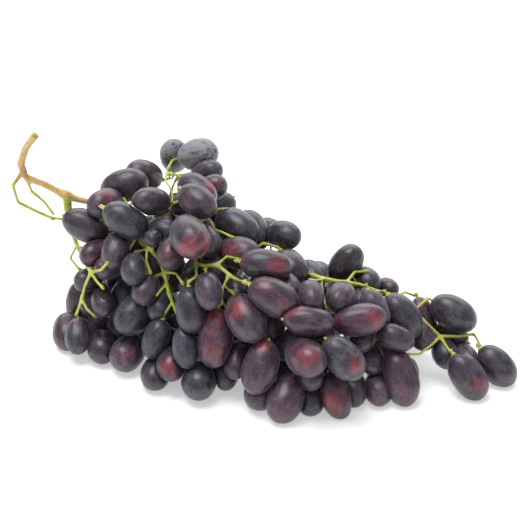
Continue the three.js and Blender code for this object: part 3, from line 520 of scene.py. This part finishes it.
def berryTree():
    tree = bpy.data.node_groups.new("berrySkins", "GeometryNodeTree")
    for name, kind, value in (("Geometry", "NodeSocketGeometry", None), ("Facets", "NodeSocketInt", 16),
                              ("Blunt", "NodeSocketFloat", 0.0), ("Egg", "NodeSocketFloat", 0.0),
                              ("Dimple", "NodeSocketFloat", 0.0), ("Scar", "NodeSocketFloat", 0.0),
                              ("Uneven", "NodeSocketFloat", 0.0), ("Skin", "NodeSocketMaterial", None)):
        socket = tree.interface.new_socket(name, in_out="INPUT", socket_type=kind)
        if value is not None:
            socket.default_value = value
    tree.interface.new_socket("Geometry", in_out="OUTPUT", socket_type="NodeSocketGeometry")
    graph = Graph(tree)
    given = graph.add("NodeGroupInput")
    facets = given.out("Facets") + 1
    cube = graph.add("GeometryNodeMeshCube", None, {"Size": (2, 2, 2), "Vertices X": facets,
                                                    "Vertices Y": facets, "Vertices Z": facets})
    corner = graph.add("GeometryNodeInputPosition")
    unit = graph.add("ShaderNodeVectorMath", {"operation": "NORMALIZE"}, [corner])
    parts = graph.add("ShaderNodeSeparateXYZ", None, [unit])
    x, y, z = parts.out("X"), parts.out("Y"), parts.out("Z")
    across = x * x + y * y
    full = 1 + given.out("Blunt") * 4 * across * z * z - given.out("Egg") * z
    pit = graph.add("ShaderNodeMath", {"operation": "EXPONENT"}, [across * -berrySkin["pit"]])
    nub = graph.add("ShaderNodeMath", {"operation": "EXPONENT"}, [across * -berrySkin["nub"]])
    top = graph.step(z, 0.2, 0.6)
    foot = graph.step(z, -0.2, -0.6)
    height = z - given.out("Dimple") * pit * top - given.out("Scar") * nub * foot
    shaped = graph.add("ShaderNodeCombineXYZ", None, [x * full, y * full, height])
    ball = graph.add("GeometryNodeSetPosition", None, {"Geometry": cube, "Position": shaped})
    ball = graph.add("GeometryNodeStoreNamedAttribute", {"data_type": "FLOAT_VECTOR", "domain": "POINT"},
                     {"Geometry": ball, "Name": "own", "Value": unit})
    turn = graph.add("GeometryNodeInputNamedAttribute", {"data_type": "FLOAT_VECTOR"}, {"Name": "turn"})
    size = graph.add("GeometryNodeInputNamedAttribute", {"data_type": "FLOAT_VECTOR"}, {"Name": "size"})
    placed = graph.add("GeometryNodeInstanceOnPoints", None,
                       {"Points": given.out("Geometry"), "Instance": ball, "Rotation": turn, "Scale": size})
    real = graph.add("GeometryNodeRealizeInstances", None, {"Geometry": placed})
    chance = graph.add("GeometryNodeInputNamedAttribute", {"data_type": "FLOAT"}, {"Name": "chance"})
    own = graph.add("GeometryNodeInputNamedAttribute", {"data_type": "FLOAT_VECTOR"}, {"Name": "own"})
    away = graph.add("ShaderNodeCombineXYZ", None, [chance * shift for shift in berrySkin["patternShift"]])
    where = graph.add("ShaderNodeVectorMath", {"operation": "ADD"}, [own, away])
    lumps = graph.noise(where, 1.3, 1.5) - 0.5
    push = graph.add("ShaderNodeVectorMath", {"operation": "SCALE"},
                     {0: graph.add("GeometryNodeInputNormal"), "Scale": lumps * given.out("Uneven") * 2})
    real = graph.add("GeometryNodeSetPosition", None, {"Geometry": real, "Offset": push})
    real = graph.add("GeometryNodeSetMaterial", None, {"Geometry": real, "Material": given.out("Skin")})
    graph.add("NodeGroupOutput", None, {"Geometry": real})
    return tree


def pointsObject(name, places, floats, vectors):
    mesh = bpy.data.meshes.new(name)
    mesh.from_pydata([tuple(place) for place in places], [], [])
    for key, values in floats.items():
        mesh.attributes.new(key, "FLOAT", "POINT").data.foreach_set("value", np.array(values, np.float32))
    for key, values in vectors.items():
        layer = mesh.attributes.new(key, "FLOAT_VECTOR", "POINT")
        layer.data.foreach_set("vector", np.array(values, np.float32).ravel())
    piece = bpy.data.objects.new(name, mesh)
    bpy.context.scene.collection.objects.link(piece)
    return piece


def grown(piece, tree, values):
    # runs a tree on an object and keeps the result as its plain mesh
    modifier = piece.modifiers.new("grow", "NODES")
    modifier.node_group = tree
    for item in tree.interface.items_tree:
        if item.in_out == "INPUT" and item.name in values:
            modifier[item.identifier] = values[item.name]
    bpy.context.view_layer.update()
    depsgraph = bpy.context.evaluated_depsgraph_get()
    mesh = bpy.data.meshes.new_from_object(piece.evaluated_get(depsgraph), depsgraph=depsgraph)
    piece.modifiers.clear()
    old, piece.data = piece.data, mesh
    bpy.data.meshes.remove(old)
    return piece


def turnFor(axis, spin):
    track = Vector(axis).to_track_quat("Z", "Y").to_matrix() @ Matrix.Rotation(spin, 3, "Z")
    return tuple(track.to_euler("XYZ"))


def ballsIn(berry):
    stretch = berry["long"] ** 2 - berry["wide"] ** 2
    shares = np.array([-1, -0.66, -0.33, 0, 0.33, 0.66, 1])
    along = shares * stretch / berry["long"]
    radii = berry["wide"] * np.sqrt(1 - along ** 2 / stretch)
    return berry["centre"] + along[:, None] * berry["axis"], radii


def contactPlanes():
    # flat places between berries that press on each other
    balls = [ballsIn(berry) for berry in berries]
    for berry in berries:
        berry["flats"] = []
    for one in range(len(berries)):
        for two in range(one + 1, len(berries)):
            first, second = berries[one], berries[two]
            apart = np.linalg.norm(first["centre"] - second["centre"])
            if apart > first["long"] + second["long"] + 1:
                continue
            between = balls[two][0][None] - balls[one][0][:, None]
            length = np.linalg.norm(between, axis=2)
            gap = length - balls[one][1][:, None] - balls[two][1][None]
            i, j = np.unravel_index(gap.argmin(), gap.shape)
            if gap[i, j] > berrySkin["touching"]:
                continue
            normal = between[i, j] / length[i, j]
            face = balls[one][0][i] @ normal + balls[one][1][i] + gap[i, j] / 2
            first["flats"].append((normal, face))
            second["flats"].append((-normal, -face))


def pressed(places, berry):
    # a soft limit at every flat and at the floor
    soft = berrySkin["contact"]
    for normal, face in berry["flats"] + [(np.array([0, 0, -1.0]), -berrySkin["clearOfFloor"])]:
        over = places @ normal - face
        held = -soft * np.logaddexp(0, -over / soft)
        near = over > -6 * soft
        places[near] += ((held - over)[:, None] * normal[None])[near]
    return places


def makeBerries(node, tree, skin):
    members = [berry for berry in berries if berry["node"] == node]
    if not members:
        return None
    draw = random.Random(node)
    piece = pointsObject(
        node.replace("berries", "grapes"),
        [berry["centre"] * mm for berry in members],
        {"chance": [berry["chance"] for berry in members],
         "ripe": [berry["ripe"] for berry in members],
         "dustAndGlow": [berry["dustAndGlow"] for berry in members],
         "member": list(range(len(members)))},
        {"turn": [turnFor(berry["axis"], draw.uniform(0, 6.28)) for berry in members],
         "size": [(berry["wide"] * mm, berry["wide"] * mm, berry["long"] * mm) for berry in members]},
    )
    grown(piece, tree, {
        "Facets": berrySkin["facets"][members[0]["kind"]], "Blunt": berrySkin["blunt"],
        "Egg": berrySkin["egg"], "Dimple": berrySkin["dimple"], "Scar": berrySkin["scar"],
        "Uneven": berrySkin["uneven"], "Skin": skin,
    })
    mesh = piece.data
    count = len(mesh.vertices)
    flat = np.empty(count * 3, np.float32)
    mesh.vertices.foreach_get("co", flat)
    places = flat.reshape(-1, 3).astype(float) / mm
    which = np.empty(count, np.float32)
    mesh.attributes["member"].data.foreach_get("value", which)
    which = np.rint(which).astype(int)
    blush = np.zeros(count)
    for index, berry in enumerate(members):
        mine = which == index
        for spot, radius, strength in berry["spots"]:
            away = np.linalg.norm(places[mine] - spot, axis=1)
            blush[mine] = np.maximum(blush[mine], strength * np.exp(-(away / radius) ** 2))
        places[mine] = pressed(places[mine], berry)
    mesh.vertices.foreach_set("co", (places * mm).astype(np.float32).ravel())
    mesh.attributes.new("blush", "FLOAT", "POINT").data.foreach_set("value", blush.astype(np.float32))
    mesh.shade_smooth()
    mesh.update()
    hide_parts(node)
    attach(piece, "root")
    return piece


# Skin material: near-black to wine-red skin under a grey dust that is rubbed off in places, and a painted
# pale glow of light on the berries at the top of the bunch
skinLook = {
    "black": (0.008, 0.006, 0.011, 1),
    "wine": (0.055, 0.009, 0.019, 1),
    "red": (0.210, 0.018, 0.030, 1),
    "dustBlue": (0.108, 0.126, 0.190, 1),
    "dustGrey": (0.165, 0.165, 0.195, 1),
    "dustLilac": (0.205, 0.146, 0.232, 1),
    "dustRed": (0.400, 0.165, 0.225, 1),
    # painted glow: a pale colour that stands in for light wrapping round the berries at the top of the bunch
    "paintedGlowColour": (0.340, 0.345, 0.380, 1),
    "speck": (0.005, 0.004, 0.006, 1),
    "scar": (0.060, 0.036, 0.024, 1),
    "stalkRing": (0.140, 0.110, 0.040, 1),
    # noises: scale, detail, roughness, distortion
    "patches": (1.8, 3, 0.6, 0.5),
    "smears": (4.5, 3, 0.6, 0.4),
    "mottle": (6.5, 4, 0.65, 0.3),
    "grain": (30.0, 3, 0.65),
    "broad": (0.9, 1),
    "dots": 8.0,
    "sheen": 0.34,
    "coat": 0.45,
}


def skinMaterial():
    material = bpy.data.materials.new("grapeSkin")
    material.use_nodes = True
    tree = material.node_tree
    tree.nodes.clear()
    graph = Graph(tree)

    def stored(name, output="Fac"):
        wire = graph.add("ShaderNodeAttribute", {"attribute_name": name})
        return wire.out(output)

    own, chance = stored("own", "Vector"), stored("chance")
    ripe, dustAndGlow, blush = stored("ripe"), stored("dustAndGlow"), stored("blush")
    away = graph.add("ShaderNodeCombineXYZ", None, [chance * shift for shift in berrySkin["patternShift"]])
    where = graph.add("ShaderNodeVectorMath", {"operation": "MULTIPLY_ADD"}, [own, (1, 1, 1.45), away])
    lengthwise = graph.add("ShaderNodeVectorMath", {"operation": "MULTIPLY_ADD"}, [own, (1, 1, 0.35), away])
    patches = graph.noise(where, *skinLook["patches"])
    smears = graph.noise(lengthwise, *skinLook["smears"])
    mottle = graph.noise(where, *skinLook["mottle"])
    grain = graph.noise(where, *skinLook["grain"])
    broad = graph.noise(where, *skinLook["broad"])
    dots = graph.add("ShaderNodeTexVoronoi", {"feature": "F1"},
                     {"Vector": where, "Scale": skinLook["dots"], "Randomness": 1.0})
    dotSize = graph.noise(where, skinLook["dots"], 0)

    # red where the spots are, with ragged edges
    ragged = blush * 1.1 + (patches - 0.5) * 1.5 + (mottle - 0.5) * 0.8 - 0.16
    redness = graph.step(ragged, 0.0, 0.78) * graph.step(blush, 0.02, 0.25)
    # dust is thick in places, thin in others, and rubbed off in small soft marks
    thick = graph.step(patches * 0.4 + smears * 0.35 + mottle * 0.25, 0.42, 0.59)
    # berries dustier than 0.95 get a painted pale glow of light, smooth, with fewer rub marks and specks
    paintedGlow = graph.step(dustAndGlow, 0.95, 1.6)
    rubbed = graph.step(mottle * 0.65 + smears * 0.35, 0.525, 0.60) * (1 - paintedGlow * 0.8)
    dusty = dustAndGlow * (0.24 + 0.72 * thick) * (1 - 0.86 * rubbed) * (0.7 + 0.6 * grain)
    dusty = (dusty * (1 - redness * 0.35)).min(1.0).max(0.0)
    skin = graph.mix((ripe + (patches - 0.5) * 0.9).min(1.0).max(0.0), skinLook["black"], skinLook["wine"])
    skin = graph.mix(redness, skin, skinLook["red"])
    cool = graph.step(smears * 0.4 + broad * 0.6, 0.42, 0.58)
    powderAndGlow = graph.mix(cool, skinLook["dustBlue"], skinLook["dustGrey"])
    powderAndGlow = graph.mix((ripe * (0.35 + 1.1 * cool)).min(1.0), powderAndGlow, skinLook["dustLilac"])
    powderAndGlow = graph.mix(redness, powderAndGlow, skinLook["dustRed"])
    powderAndGlow = graph.mix(paintedGlow, powderAndGlow, skinLook["paintedGlowColour"])
    colour = graph.mix(dusty * 0.88, skin, powderAndGlow)
    speck = graph.step(dots.out("Distance") - dotSize * 0.19, 0.03, -0.03)
    colour = graph.mix(speck * 0.75 * (1 - paintedGlow), colour, skinLook["speck"])
    height = graph.add("ShaderNodeSeparateXYZ", None, [own]).out("Z")
    colour = graph.mix(graph.step(height, -0.982, -0.994) * 0.8, colour, skinLook["scar"])
    colour = graph.mix(graph.step(height, 0.965, 0.99) * 0.7, colour, skinLook["stalkRing"])
    roughness = 0.32 + 0.28 * dusty + 0.10 * grain
    relief = grain * 0.35 + mottle * 0.8 - rubbed * 0.5 - speck * 0.5
    bump = graph.add("ShaderNodeBump", None, {"Strength": 0.16, "Distance": 0.0004, "Height": relief})
    shader = graph.add("ShaderNodeBsdfPrincipled", None, {
        "Base Color": colour, "Roughness": roughness, "Normal": bump,
        "Specular IOR Level": 0.5, "Sheen Weight": skinLook["sheen"], "Sheen Roughness": 0.25,
        "Sheen Tint": (0.85, 0.85, 1.0, 1), "Coat Roughness": 0.24,
        "Coat Weight": skinLook["coat"] * (1 - dusty * 0.7),
    })
    graph.add("ShaderNodeOutputMaterial", None, {"Surface": shader})
    return material


# Stem: the CAD solid made round and smooth, swollen where branches fork and end
stemMake = {
    "voxel": 0.40,          # millimetres
    "smooth": 14,
    "thicken": 0.10,        # part of what the smoothing takes off, millimetres
    "swell": 0.62,          # of the heights below
    # the woody part of the stem, in pixels, and how far from its middle line it turns green
    "woody": ((36, 134), (28, 143), (23, 156), (20, 168), (24, 178), (35, 181), (50, 187), (65, 194),
              (80, 200), (97, 203)),
    "woodyReach": (4.2, 7.0),
    "greenFork": (67, 205, 9.0),
    "room": 0.12,           # kept between stem and skins
    "clearOfFloor": 0.1,
    "sunk": 0.8,            # how far under the surface a swelling has its middle
    "nearest": 1.5,         # pixels round a swelling in which its place is looked for
    "woodyLength": 55,      # millimetres from the cut end, past which the stem is green
    "stalkEnd": 0.93,       # half lengths of a berry at which its stalk joins it
    # pixel where the lower wing twig ends, and how far it goes on, in millimetres
    "twigOn": {"from": (54, 219), "reach": (5.2, 0.6, -1.0), "balls": 14, "radius": 0.85},
    # pixel, radius and height of each swelling in millimetres, and whether it is a bare end
    "swellings": (
        (36, 134, 2.2, 0.5, 1), (20, 172, 4.0, 0.9, 0), (30, 181, 3.0, 0.4, 0), (66, 198, 3.6, 2.1, 0),
        (67, 207, 3.2, 1.5, 0), (68, 213, 2.6, 0.8, 0),
        (54, 219, 1.8, 0.5, 1), (91, 272, 3.0, 0.6, 0), (82, 299, 2.2, 0.4, 0), (76, 247, 2.5, 0.3, 0),
        (79, 269, 1.6, 0.5, 1), (76, 316, 1.8, 0.5, 1), (96, 317, 1.8, 0.5, 1), (138, 194, 1.8, 0.6, 1),
        (183, 156, 2.0, 0.8, 1), (168, 172, 2.0, 0.5, 0), (185, 175, 2.0, 0.8, 1), (193, 205, 2.0, 0.8, 1),
        (174, 205, 2.2, 0.5, 0), (141, 240, 3.2, 0.7, 0), (165, 271, 2.4, 0.4, 0), (169, 293, 2.4, 0.5, 0),
        (184, 285, 1.8, 0.6, 1), (182, 327, 1.8, 0.5, 1), (162, 322, 1.8, 0.5, 1), (151, 274, 1.8, 0.5, 1),
        (217, 265, 2.6, 0.6, 0), (228, 276, 2.2, 0.5, 0), (240, 259, 1.8, 0.6, 1), (248, 286, 2.2, 0.7, 1),
        (221, 306, 2.2, 0.7, 1), (197, 277, 1.8, 0.6, 1), (219, 209, 1.8, 0.7, 1), (234, 239, 1.8, 0.6, 1),
        (268, 243, 2.0, 0.4, 0), (278, 247, 1.8, 0.6, 1), (346, 281, 2.6, 0.6, 0), (368, 272, 1.8, 0.7, 1),
        (367, 287, 1.8, 0.5, 1), (415, 296, 1.8, 0.6, 1), (441, 337, 2.4, 0.5, 0), (404, 355, 1.8, 0.6, 1),
        (451, 353, 1.8, 0.6, 1), (481, 346, 1.8, 0.6, 1), (104, 289, 1.6, 0.5, 1), (108, 262, 1.6, 0.5, 1),
        (86, 216, 1.6, 0.5, 1),
    ),
}


def outOfBerries(places):
    # a stem that would run into a skin gives way
    for berry in berries:
        offset = places - berry["centre"]
        near = np.linalg.norm(offset, axis=1) < berry["long"] + 1
        if not near.any():
            continue
        along = offset[near] @ berry["axis"]
        side = offset[near] - along[:, None] * berry["axis"]
        wide, long = berry["wide"] + stemMake["room"], berry["long"] + stemMake["room"]
        depth = np.sqrt((along / long) ** 2 + (side ** 2).sum(1) / wide ** 2)
        stalk = along > berry["long"] * stemMake["stalkEnd"]
        inside = (depth < 1) & ~stalk
        scale = np.where(inside, 1 / np.maximum(depth, 0.5), 1.0)
        moved = offset[near] * scale[:, None]
        places[near] = berry["centre"] + moved
    return places


def woodiness(shown):
    # 1 on the thick old part of the stem, 0 on the branches that leave it
    line = np.array(stemMake["woody"], float)
    least = np.full(len(shown), np.inf)
    for start, end in zip(line[:-1], line[1:]):
        way = end - start
        share = np.clip((shown - start) @ way / (way @ way), 0, 1)
        least = np.minimum(least, np.linalg.norm(shown - start - share[:, None] * way, axis=1))
    near, far = stemMake["woodyReach"]
    x, y, radius = stemMake["greenFork"]
    fork = np.exp(-(np.hypot(shown[:, 0] - x, shown[:, 1] - y) / radius) ** 2)
    return np.clip((far - least) / (far - near), 0, 1) * (1 - fork)


def lengthenTwig():
    # small balls, which the remesh joins, carry the lower wing twig on towards the first berry
    twig = stemMake["twigOn"]
    shown, _ = shownAt(stemPlaces)
    end = stemPlaces[np.hypot(shown[:, 0] - twig["from"][0], shown[:, 1] - twig["from"][1]).argmin()]
    step = np.array(twig["reach"])
    for share in np.linspace(0, 1, twig["balls"]):
        spot = Matrix.Translation(Vector((end + step * share) * mm))
        bmesh.ops.create_icosphere(stemShape, subdivisions=1, radius=twig["radius"] * mm, matrix=spot)


def makeStem(bark):
    lengthenTwig()
    mesh = bpy.data.meshes.new("stemRound")
    stemShape.to_mesh(mesh)
    stemShape.free()
    piece = bpy.data.objects.new("stem_round", mesh)
    bpy.context.scene.collection.objects.link(piece)
    remesh = piece.modifiers.new("skin", "REMESH")
    remesh.mode = "VOXEL"
    remesh.voxel_size = stemMake["voxel"] * mm
    smooth = piece.modifiers.new("smooth", "SMOOTH")
    smooth.factor = 0.5
    smooth.iterations = stemMake["smooth"]
    depsgraph = bpy.context.evaluated_depsgraph_get()
    fine = bpy.data.meshes.new_from_object(piece.evaluated_get(depsgraph), depsgraph=depsgraph)
    piece.modifiers.clear()
    piece.data = fine
    bpy.data.meshes.remove(mesh)
    count = len(fine.vertices)
    flat = np.empty(count * 3, np.float32)
    fine.vertices.foreach_get("co", flat)
    places = flat.reshape(-1, 3).astype(float) / mm
    flat = np.empty(count * 3, np.float32)
    fine.vertices.foreach_get("normal", flat)
    normals = flat.reshape(-1, 3).astype(float)
    shown, depth = shownAt(places)
    swell = np.full(count, stemMake["thicken"])
    tips = np.zeros(count)
    for x, y, radius, height, bare in stemMake["swellings"]:
        miss = np.hypot(shown[:, 0] - x, shown[:, 1] - y)
        nearest = np.where(miss < miss.min() + stemMake["nearest"])[0]
        first = nearest[depth[nearest].argmin()]
        inner = places[first] - normals[first] * stemMake["sunk"]
        near = np.exp(-(np.linalg.norm(places - inner, axis=1) / radius) ** 2)
        swell += height * stemMake["swell"] * near
        if bare:
            tips = np.maximum(tips, near)
    places += normals * swell[:, None]
    places = outOfBerries(places)
    places[:, 2] = np.maximum(places[:, 2], stemMake["clearOfFloor"])
    fine.vertices.foreach_set("co", (places * mm).astype(np.float32).ravel())
    fine.attributes.new("tip", "FLOAT", "POINT").data.foreach_set("value", tips.astype(np.float32))
    woody = woodiness(shown)
    woody[places[:, 0] > places[:, 0].min() + stemMake["woodyLength"]] = 0
    fine.attributes.new("woody", "FLOAT", "POINT").data.foreach_set("value", woody.astype(np.float32))
    fine.materials.clear()
    fine.materials.append(bark)
    fine.shade_smooth()
    fine.update()
    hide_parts("stem")
    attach(piece, "root")
    print("stem:", len(fine.polygons), "faces")
    return piece


stemLook = {
    "leafGreen": (0.34, 0.43, 0.050, 1),
    "yellowGreen": (0.68, 0.73, 0.155, 1),
    "gold": (0.60, 0.47, 0.130, 1),
    "tan": (0.70, 0.47, 0.165, 1),
    "paleTan": (0.83, 0.65, 0.34, 1),
    "orange": (0.62, 0.35, 0.080, 1),
    "rust": (0.46, 0.18, 0.065, 1),
    "brown": (0.15, 0.085, 0.03, 1),
    "knot": (-0.128, 0.034, 0.086),     # metres, where the stem bends
    "cut": (-0.118, 0.034, 0.108),
}


def barkMaterial():
    material = bpy.data.materials.new("grapeStem")
    material.use_nodes = True
    tree = material.node_tree
    tree.nodes.clear()
    graph = Graph(tree)
    place = graph.add("ShaderNodeTexCoord").out("Object")
    parts = graph.add("ShaderNodeSeparateXYZ", None, [place])
    tip = graph.add("ShaderNodeAttribute", {"attribute_name": "tip"}).out("Fac")
    woody = graph.add("ShaderNodeAttribute", {"attribute_name": "woody"}).out("Fac")
    broad = graph.noise(place, 60.0, 3, 0.6)
    fine = graph.noise(place, 420.0, 3, 0.6)
    pores = graph.noise(place, 1400.0, 2, 0.6)

    def distanceTo(spot):
        return graph.add("ShaderNodeVectorMath", {"operation": "DISTANCE"}, [place, spot], output=1)

    green = graph.mix(graph.step(broad * 0.65 + fine * 0.35, 0.38, 0.58), stemLook["leafGreen"],
                      stemLook["yellowGreen"])
    along = parts.out("X") + (broad - 0.5) * 0.03
    ageing = graph.step(along, 0.0, 0.07) * 0.35 + graph.step(broad, 0.58, 0.72) * 0.3
    colour = graph.mix(ageing.min(1.0), green, stemLook["gold"])
    wood = graph.mix(graph.step(broad * 0.4 + fine * 0.6, 0.40, 0.62), stemLook["tan"], stemLook["paleTan"])
    streak = graph.noise(place, 190.0, 3, 0.6, 0.8)
    wood = graph.mix(graph.step(streak, 0.50, 0.60) * 0.55, wood, stemLook["orange"])
    wood = graph.mix(graph.step(fine * 0.5 + broad * 0.5, 0.52, 0.62) * 0.55, wood, stemLook["rust"])
    wood = graph.mix(graph.step(distanceTo(stemLook["cut"]), 0.012, 0.003) * 0.5, wood, stemLook["paleTan"])
    colour = graph.mix(graph.step(woody + (fine - 0.5) * 0.5, 0.30, 0.75), colour, wood)
    knot = distanceTo(stemLook["knot"]) + (fine - 0.5) * 0.008
    colour = graph.mix(graph.step(knot, 0.009, 0.002) * 0.65, colour, stemLook["rust"])
    colour = graph.mix(graph.step(tip, 0.55, 0.95) * 0.5, colour, stemLook["brown"])
    freckle = graph.step(fine, 0.64, 0.74)
    colour = graph.mix(freckle * 0.5, colour, stemLook["rust"])
    bump = graph.add("ShaderNodeBump", None, {"Strength": 0.5, "Distance": 0.0005,
                                              "Height": fine * 0.8 + pores * 0.3})
    shader = graph.add("ShaderNodeBsdfPrincipled", None, {
        "Base Color": colour, "Roughness": 0.48 + 0.25 * fine, "Normal": bump,
        "Specular IOR Level": 0.4, "Sheen Weight": 0.1,
    })
    graph.add("ShaderNodeOutputMaterial", None, {"Surface": shader})
    return material


# Collars: the swollen end of each stalk, where it holds its berry
collarMake = {
    "radius": 1.5,       # of a collar on a berry at least as wide as fullWidth, in millimetres
    "fullWidth": 8,
    "joined": 2.8,       # length where the stem is near, and where it is farther off than bareFrom
    "bare": 1.7,
    "bareFrom": 4.0,
    "sides": 12,
    "rings": 9,
    "bend": 0.12,
    "flare": (0.16, 30.0, 0.62),   # share of the length where it is widest, how sharp, and how wide
    "neck": 0.46,
    "root": 0.2,
}


def collarTree():
    tree = bpy.data.node_groups.new("stalkCollars", "GeometryNodeTree")
    for name, kind in (("Geometry", "NodeSocketGeometry"), ("Sides", "NodeSocketInt"),
                       ("Rings", "NodeSocketInt"), ("Bend", "NodeSocketFloat"),
                       ("Bark", "NodeSocketMaterial")):
        tree.interface.new_socket(name, in_out="INPUT", socket_type=kind)
    tree.interface.new_socket("Geometry", in_out="OUTPUT", socket_type="NodeSocketGeometry")
    graph = Graph(tree)
    given = graph.add("NodeGroupInput")
    tube = graph.add("GeometryNodeMeshCylinder", None, {
        "Vertices": given.out("Sides"), "Radius": 1.0, "Depth": 1.0, "Side Segments": given.out("Rings"),
    })
    parts = graph.add("ShaderNodeSeparateXYZ", None, [graph.add("GeometryNodeInputPosition")])
    along = parts.out("Z") + 0.5
    widest, sharp, wide = collarMake["flare"]
    hump = (along - widest) * (along - widest) * -sharp
    flare = graph.add("ShaderNodeMath", {"operation": "EXPONENT"}, [hump])
    radius = collarMake["neck"] + wide * flare - collarMake["root"] * graph.step(along, 0.12, 0.0)
    bend = given.out("Bend") * along * along
    across = parts.out("X") * radius + bend
    shaped = graph.add("ShaderNodeCombineXYZ", None, [across, parts.out("Y") * radius, along])
    tube = graph.add("GeometryNodeSetPosition", None, {"Geometry": tube, "Position": shaped})
    turn = graph.add("GeometryNodeInputNamedAttribute", {"data_type": "FLOAT_VECTOR"}, {"Name": "turn"})
    size = graph.add("GeometryNodeInputNamedAttribute", {"data_type": "FLOAT_VECTOR"}, {"Name": "size"})
    placed = graph.add("GeometryNodeInstanceOnPoints", None,
                       {"Points": given.out("Geometry"), "Instance": tube, "Rotation": turn, "Scale": size})
    real = graph.add("GeometryNodeRealizeInstances", None, {"Geometry": placed})
    real = graph.add("GeometryNodeSetMaterial", None, {"Geometry": real, "Material": given.out("Bark")})
    graph.add("NodeGroupOutput", None, {"Geometry": real})
    return tree


def makeCollars(bark):
    draw = random.Random(5)
    places, turns, sizes = [], [], []
    for berry in berries:
        length = collarMake["bare" if berry["stalkRoom"] > collarMake["bareFrom"] else "joined"]
        wide = collarMake["radius"] * min(1.0, berry["wide"] / collarMake["fullWidth"])
        places.append((berry["centre"] + berry["axis"] * berry["long"] * stemMake["stalkEnd"]) * mm)
        turns.append(turnFor(berry["axis"], draw.uniform(0, 6.28)))
        sizes.append((wide * mm, wide * mm, length * mm))
    piece = pointsObject("stalk_collars", places, {}, {"turn": turns, "size": sizes})
    grown(piece, collarTree(), {"Sides": collarMake["sides"], "Rings": collarMake["rings"],
                                "Bend": collarMake["bend"], "Bark": bark})
    flat = np.empty(len(piece.data.vertices) * 3, np.float32)
    piece.data.vertices.foreach_get("co", flat)
    flat[2::3] = np.maximum(flat[2::3], 0.0001)
    piece.data.vertices.foreach_set("co", flat)
    piece.data.shade_smooth()
    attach(piece, "root")


# Floor, light and background
studio = {
    "floor": 8.0,
    "floorColour": (0.90, 0.90, 0.90, 1),
    "floorGlow": 0.42,
    "world": 0.44,
    "exposure": 0.0,
}
# a lamp: direction it comes from, strength, width in degrees
lamps = {"key": ((-0.20, 0.05, 1.0), 1.95, 36)}
softBox = {"place": (0.15, 1.35, 0.85), "wide": 2.2, "high": 0.9, "power": 16.0}


def makeStudio():
    mesh = bpy.data.meshes.new("floor")
    half = studio["floor"] / 2
    corners = [(-half, -half, 0), (half, -half, 0), (half, half, 0), (-half, half, 0)]
    mesh.from_pydata(corners, [], [(0, 1, 2, 3)])
    floor = bpy.data.objects.new("floor", mesh)
    bpy.context.scene.collection.objects.link(floor)
    material = bpy.data.materials.new("floorPaper")
    material.use_nodes = True
    shader = material.node_tree.nodes["Principled BSDF"]
    shader.inputs["Base Color"].default_value = studio["floorColour"]
    shader.inputs["Roughness"].default_value = 0.9
    shader.inputs["Specular IOR Level"].default_value = 0.1
    shader.inputs["Emission Color"].default_value = (1, 1, 1, 1)
    shader.inputs["Emission Strength"].default_value = studio["floorGlow"]
    mesh.materials.append(material)
    world = bpy.data.worlds.new("studio")
    world.use_nodes = True
    world.node_tree.nodes["Background"].inputs["Color"].default_value = (1, 1, 1, 1)
    world.node_tree.nodes["Background"].inputs["Strength"].default_value = studio["world"]
    bpy.context.scene.world = world
    for name, (source, strength, width) in lamps.items():
        data = bpy.data.lights.new(name, "SUN")
        data.energy = strength
        data.angle = math.radians(width)
        lamp = bpy.data.objects.new(name, data)
        lamp.rotation_euler = Vector(source).to_track_quat("Z", "Y").to_euler()
        bpy.context.scene.collection.objects.link(lamp)
    data = bpy.data.lights.new("softBox", "AREA")
    data.shape = "RECTANGLE"
    data.size, data.size_y = softBox["wide"], softBox["high"]
    data.energy = softBox["power"]
    lamp = bpy.data.objects.new("softBox", data)
    lamp.location = softBox["place"]
    lamp.rotation_euler = Vector(softBox["place"]).to_track_quat("Z", "Y").to_euler()
    bpy.context.scene.collection.objects.link(lamp)
    bpy.context.scene.view_settings.view_transform = "Standard"
    bpy.context.scene.view_settings.exposure = studio["exposure"]


contactPlanes()
skin = skinMaterial()
tree = berryTree()
faces = 0
for node in sorted(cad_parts):
    if node.startswith("berries"):
        made = makeBerries(node, tree, skin)
        faces += len(made.data.polygons) if made else 0
print("berry skins:", faces, "faces")
bark = barkMaterial()
makeStem(bark)
makeCollars(bark)
makeStudio()
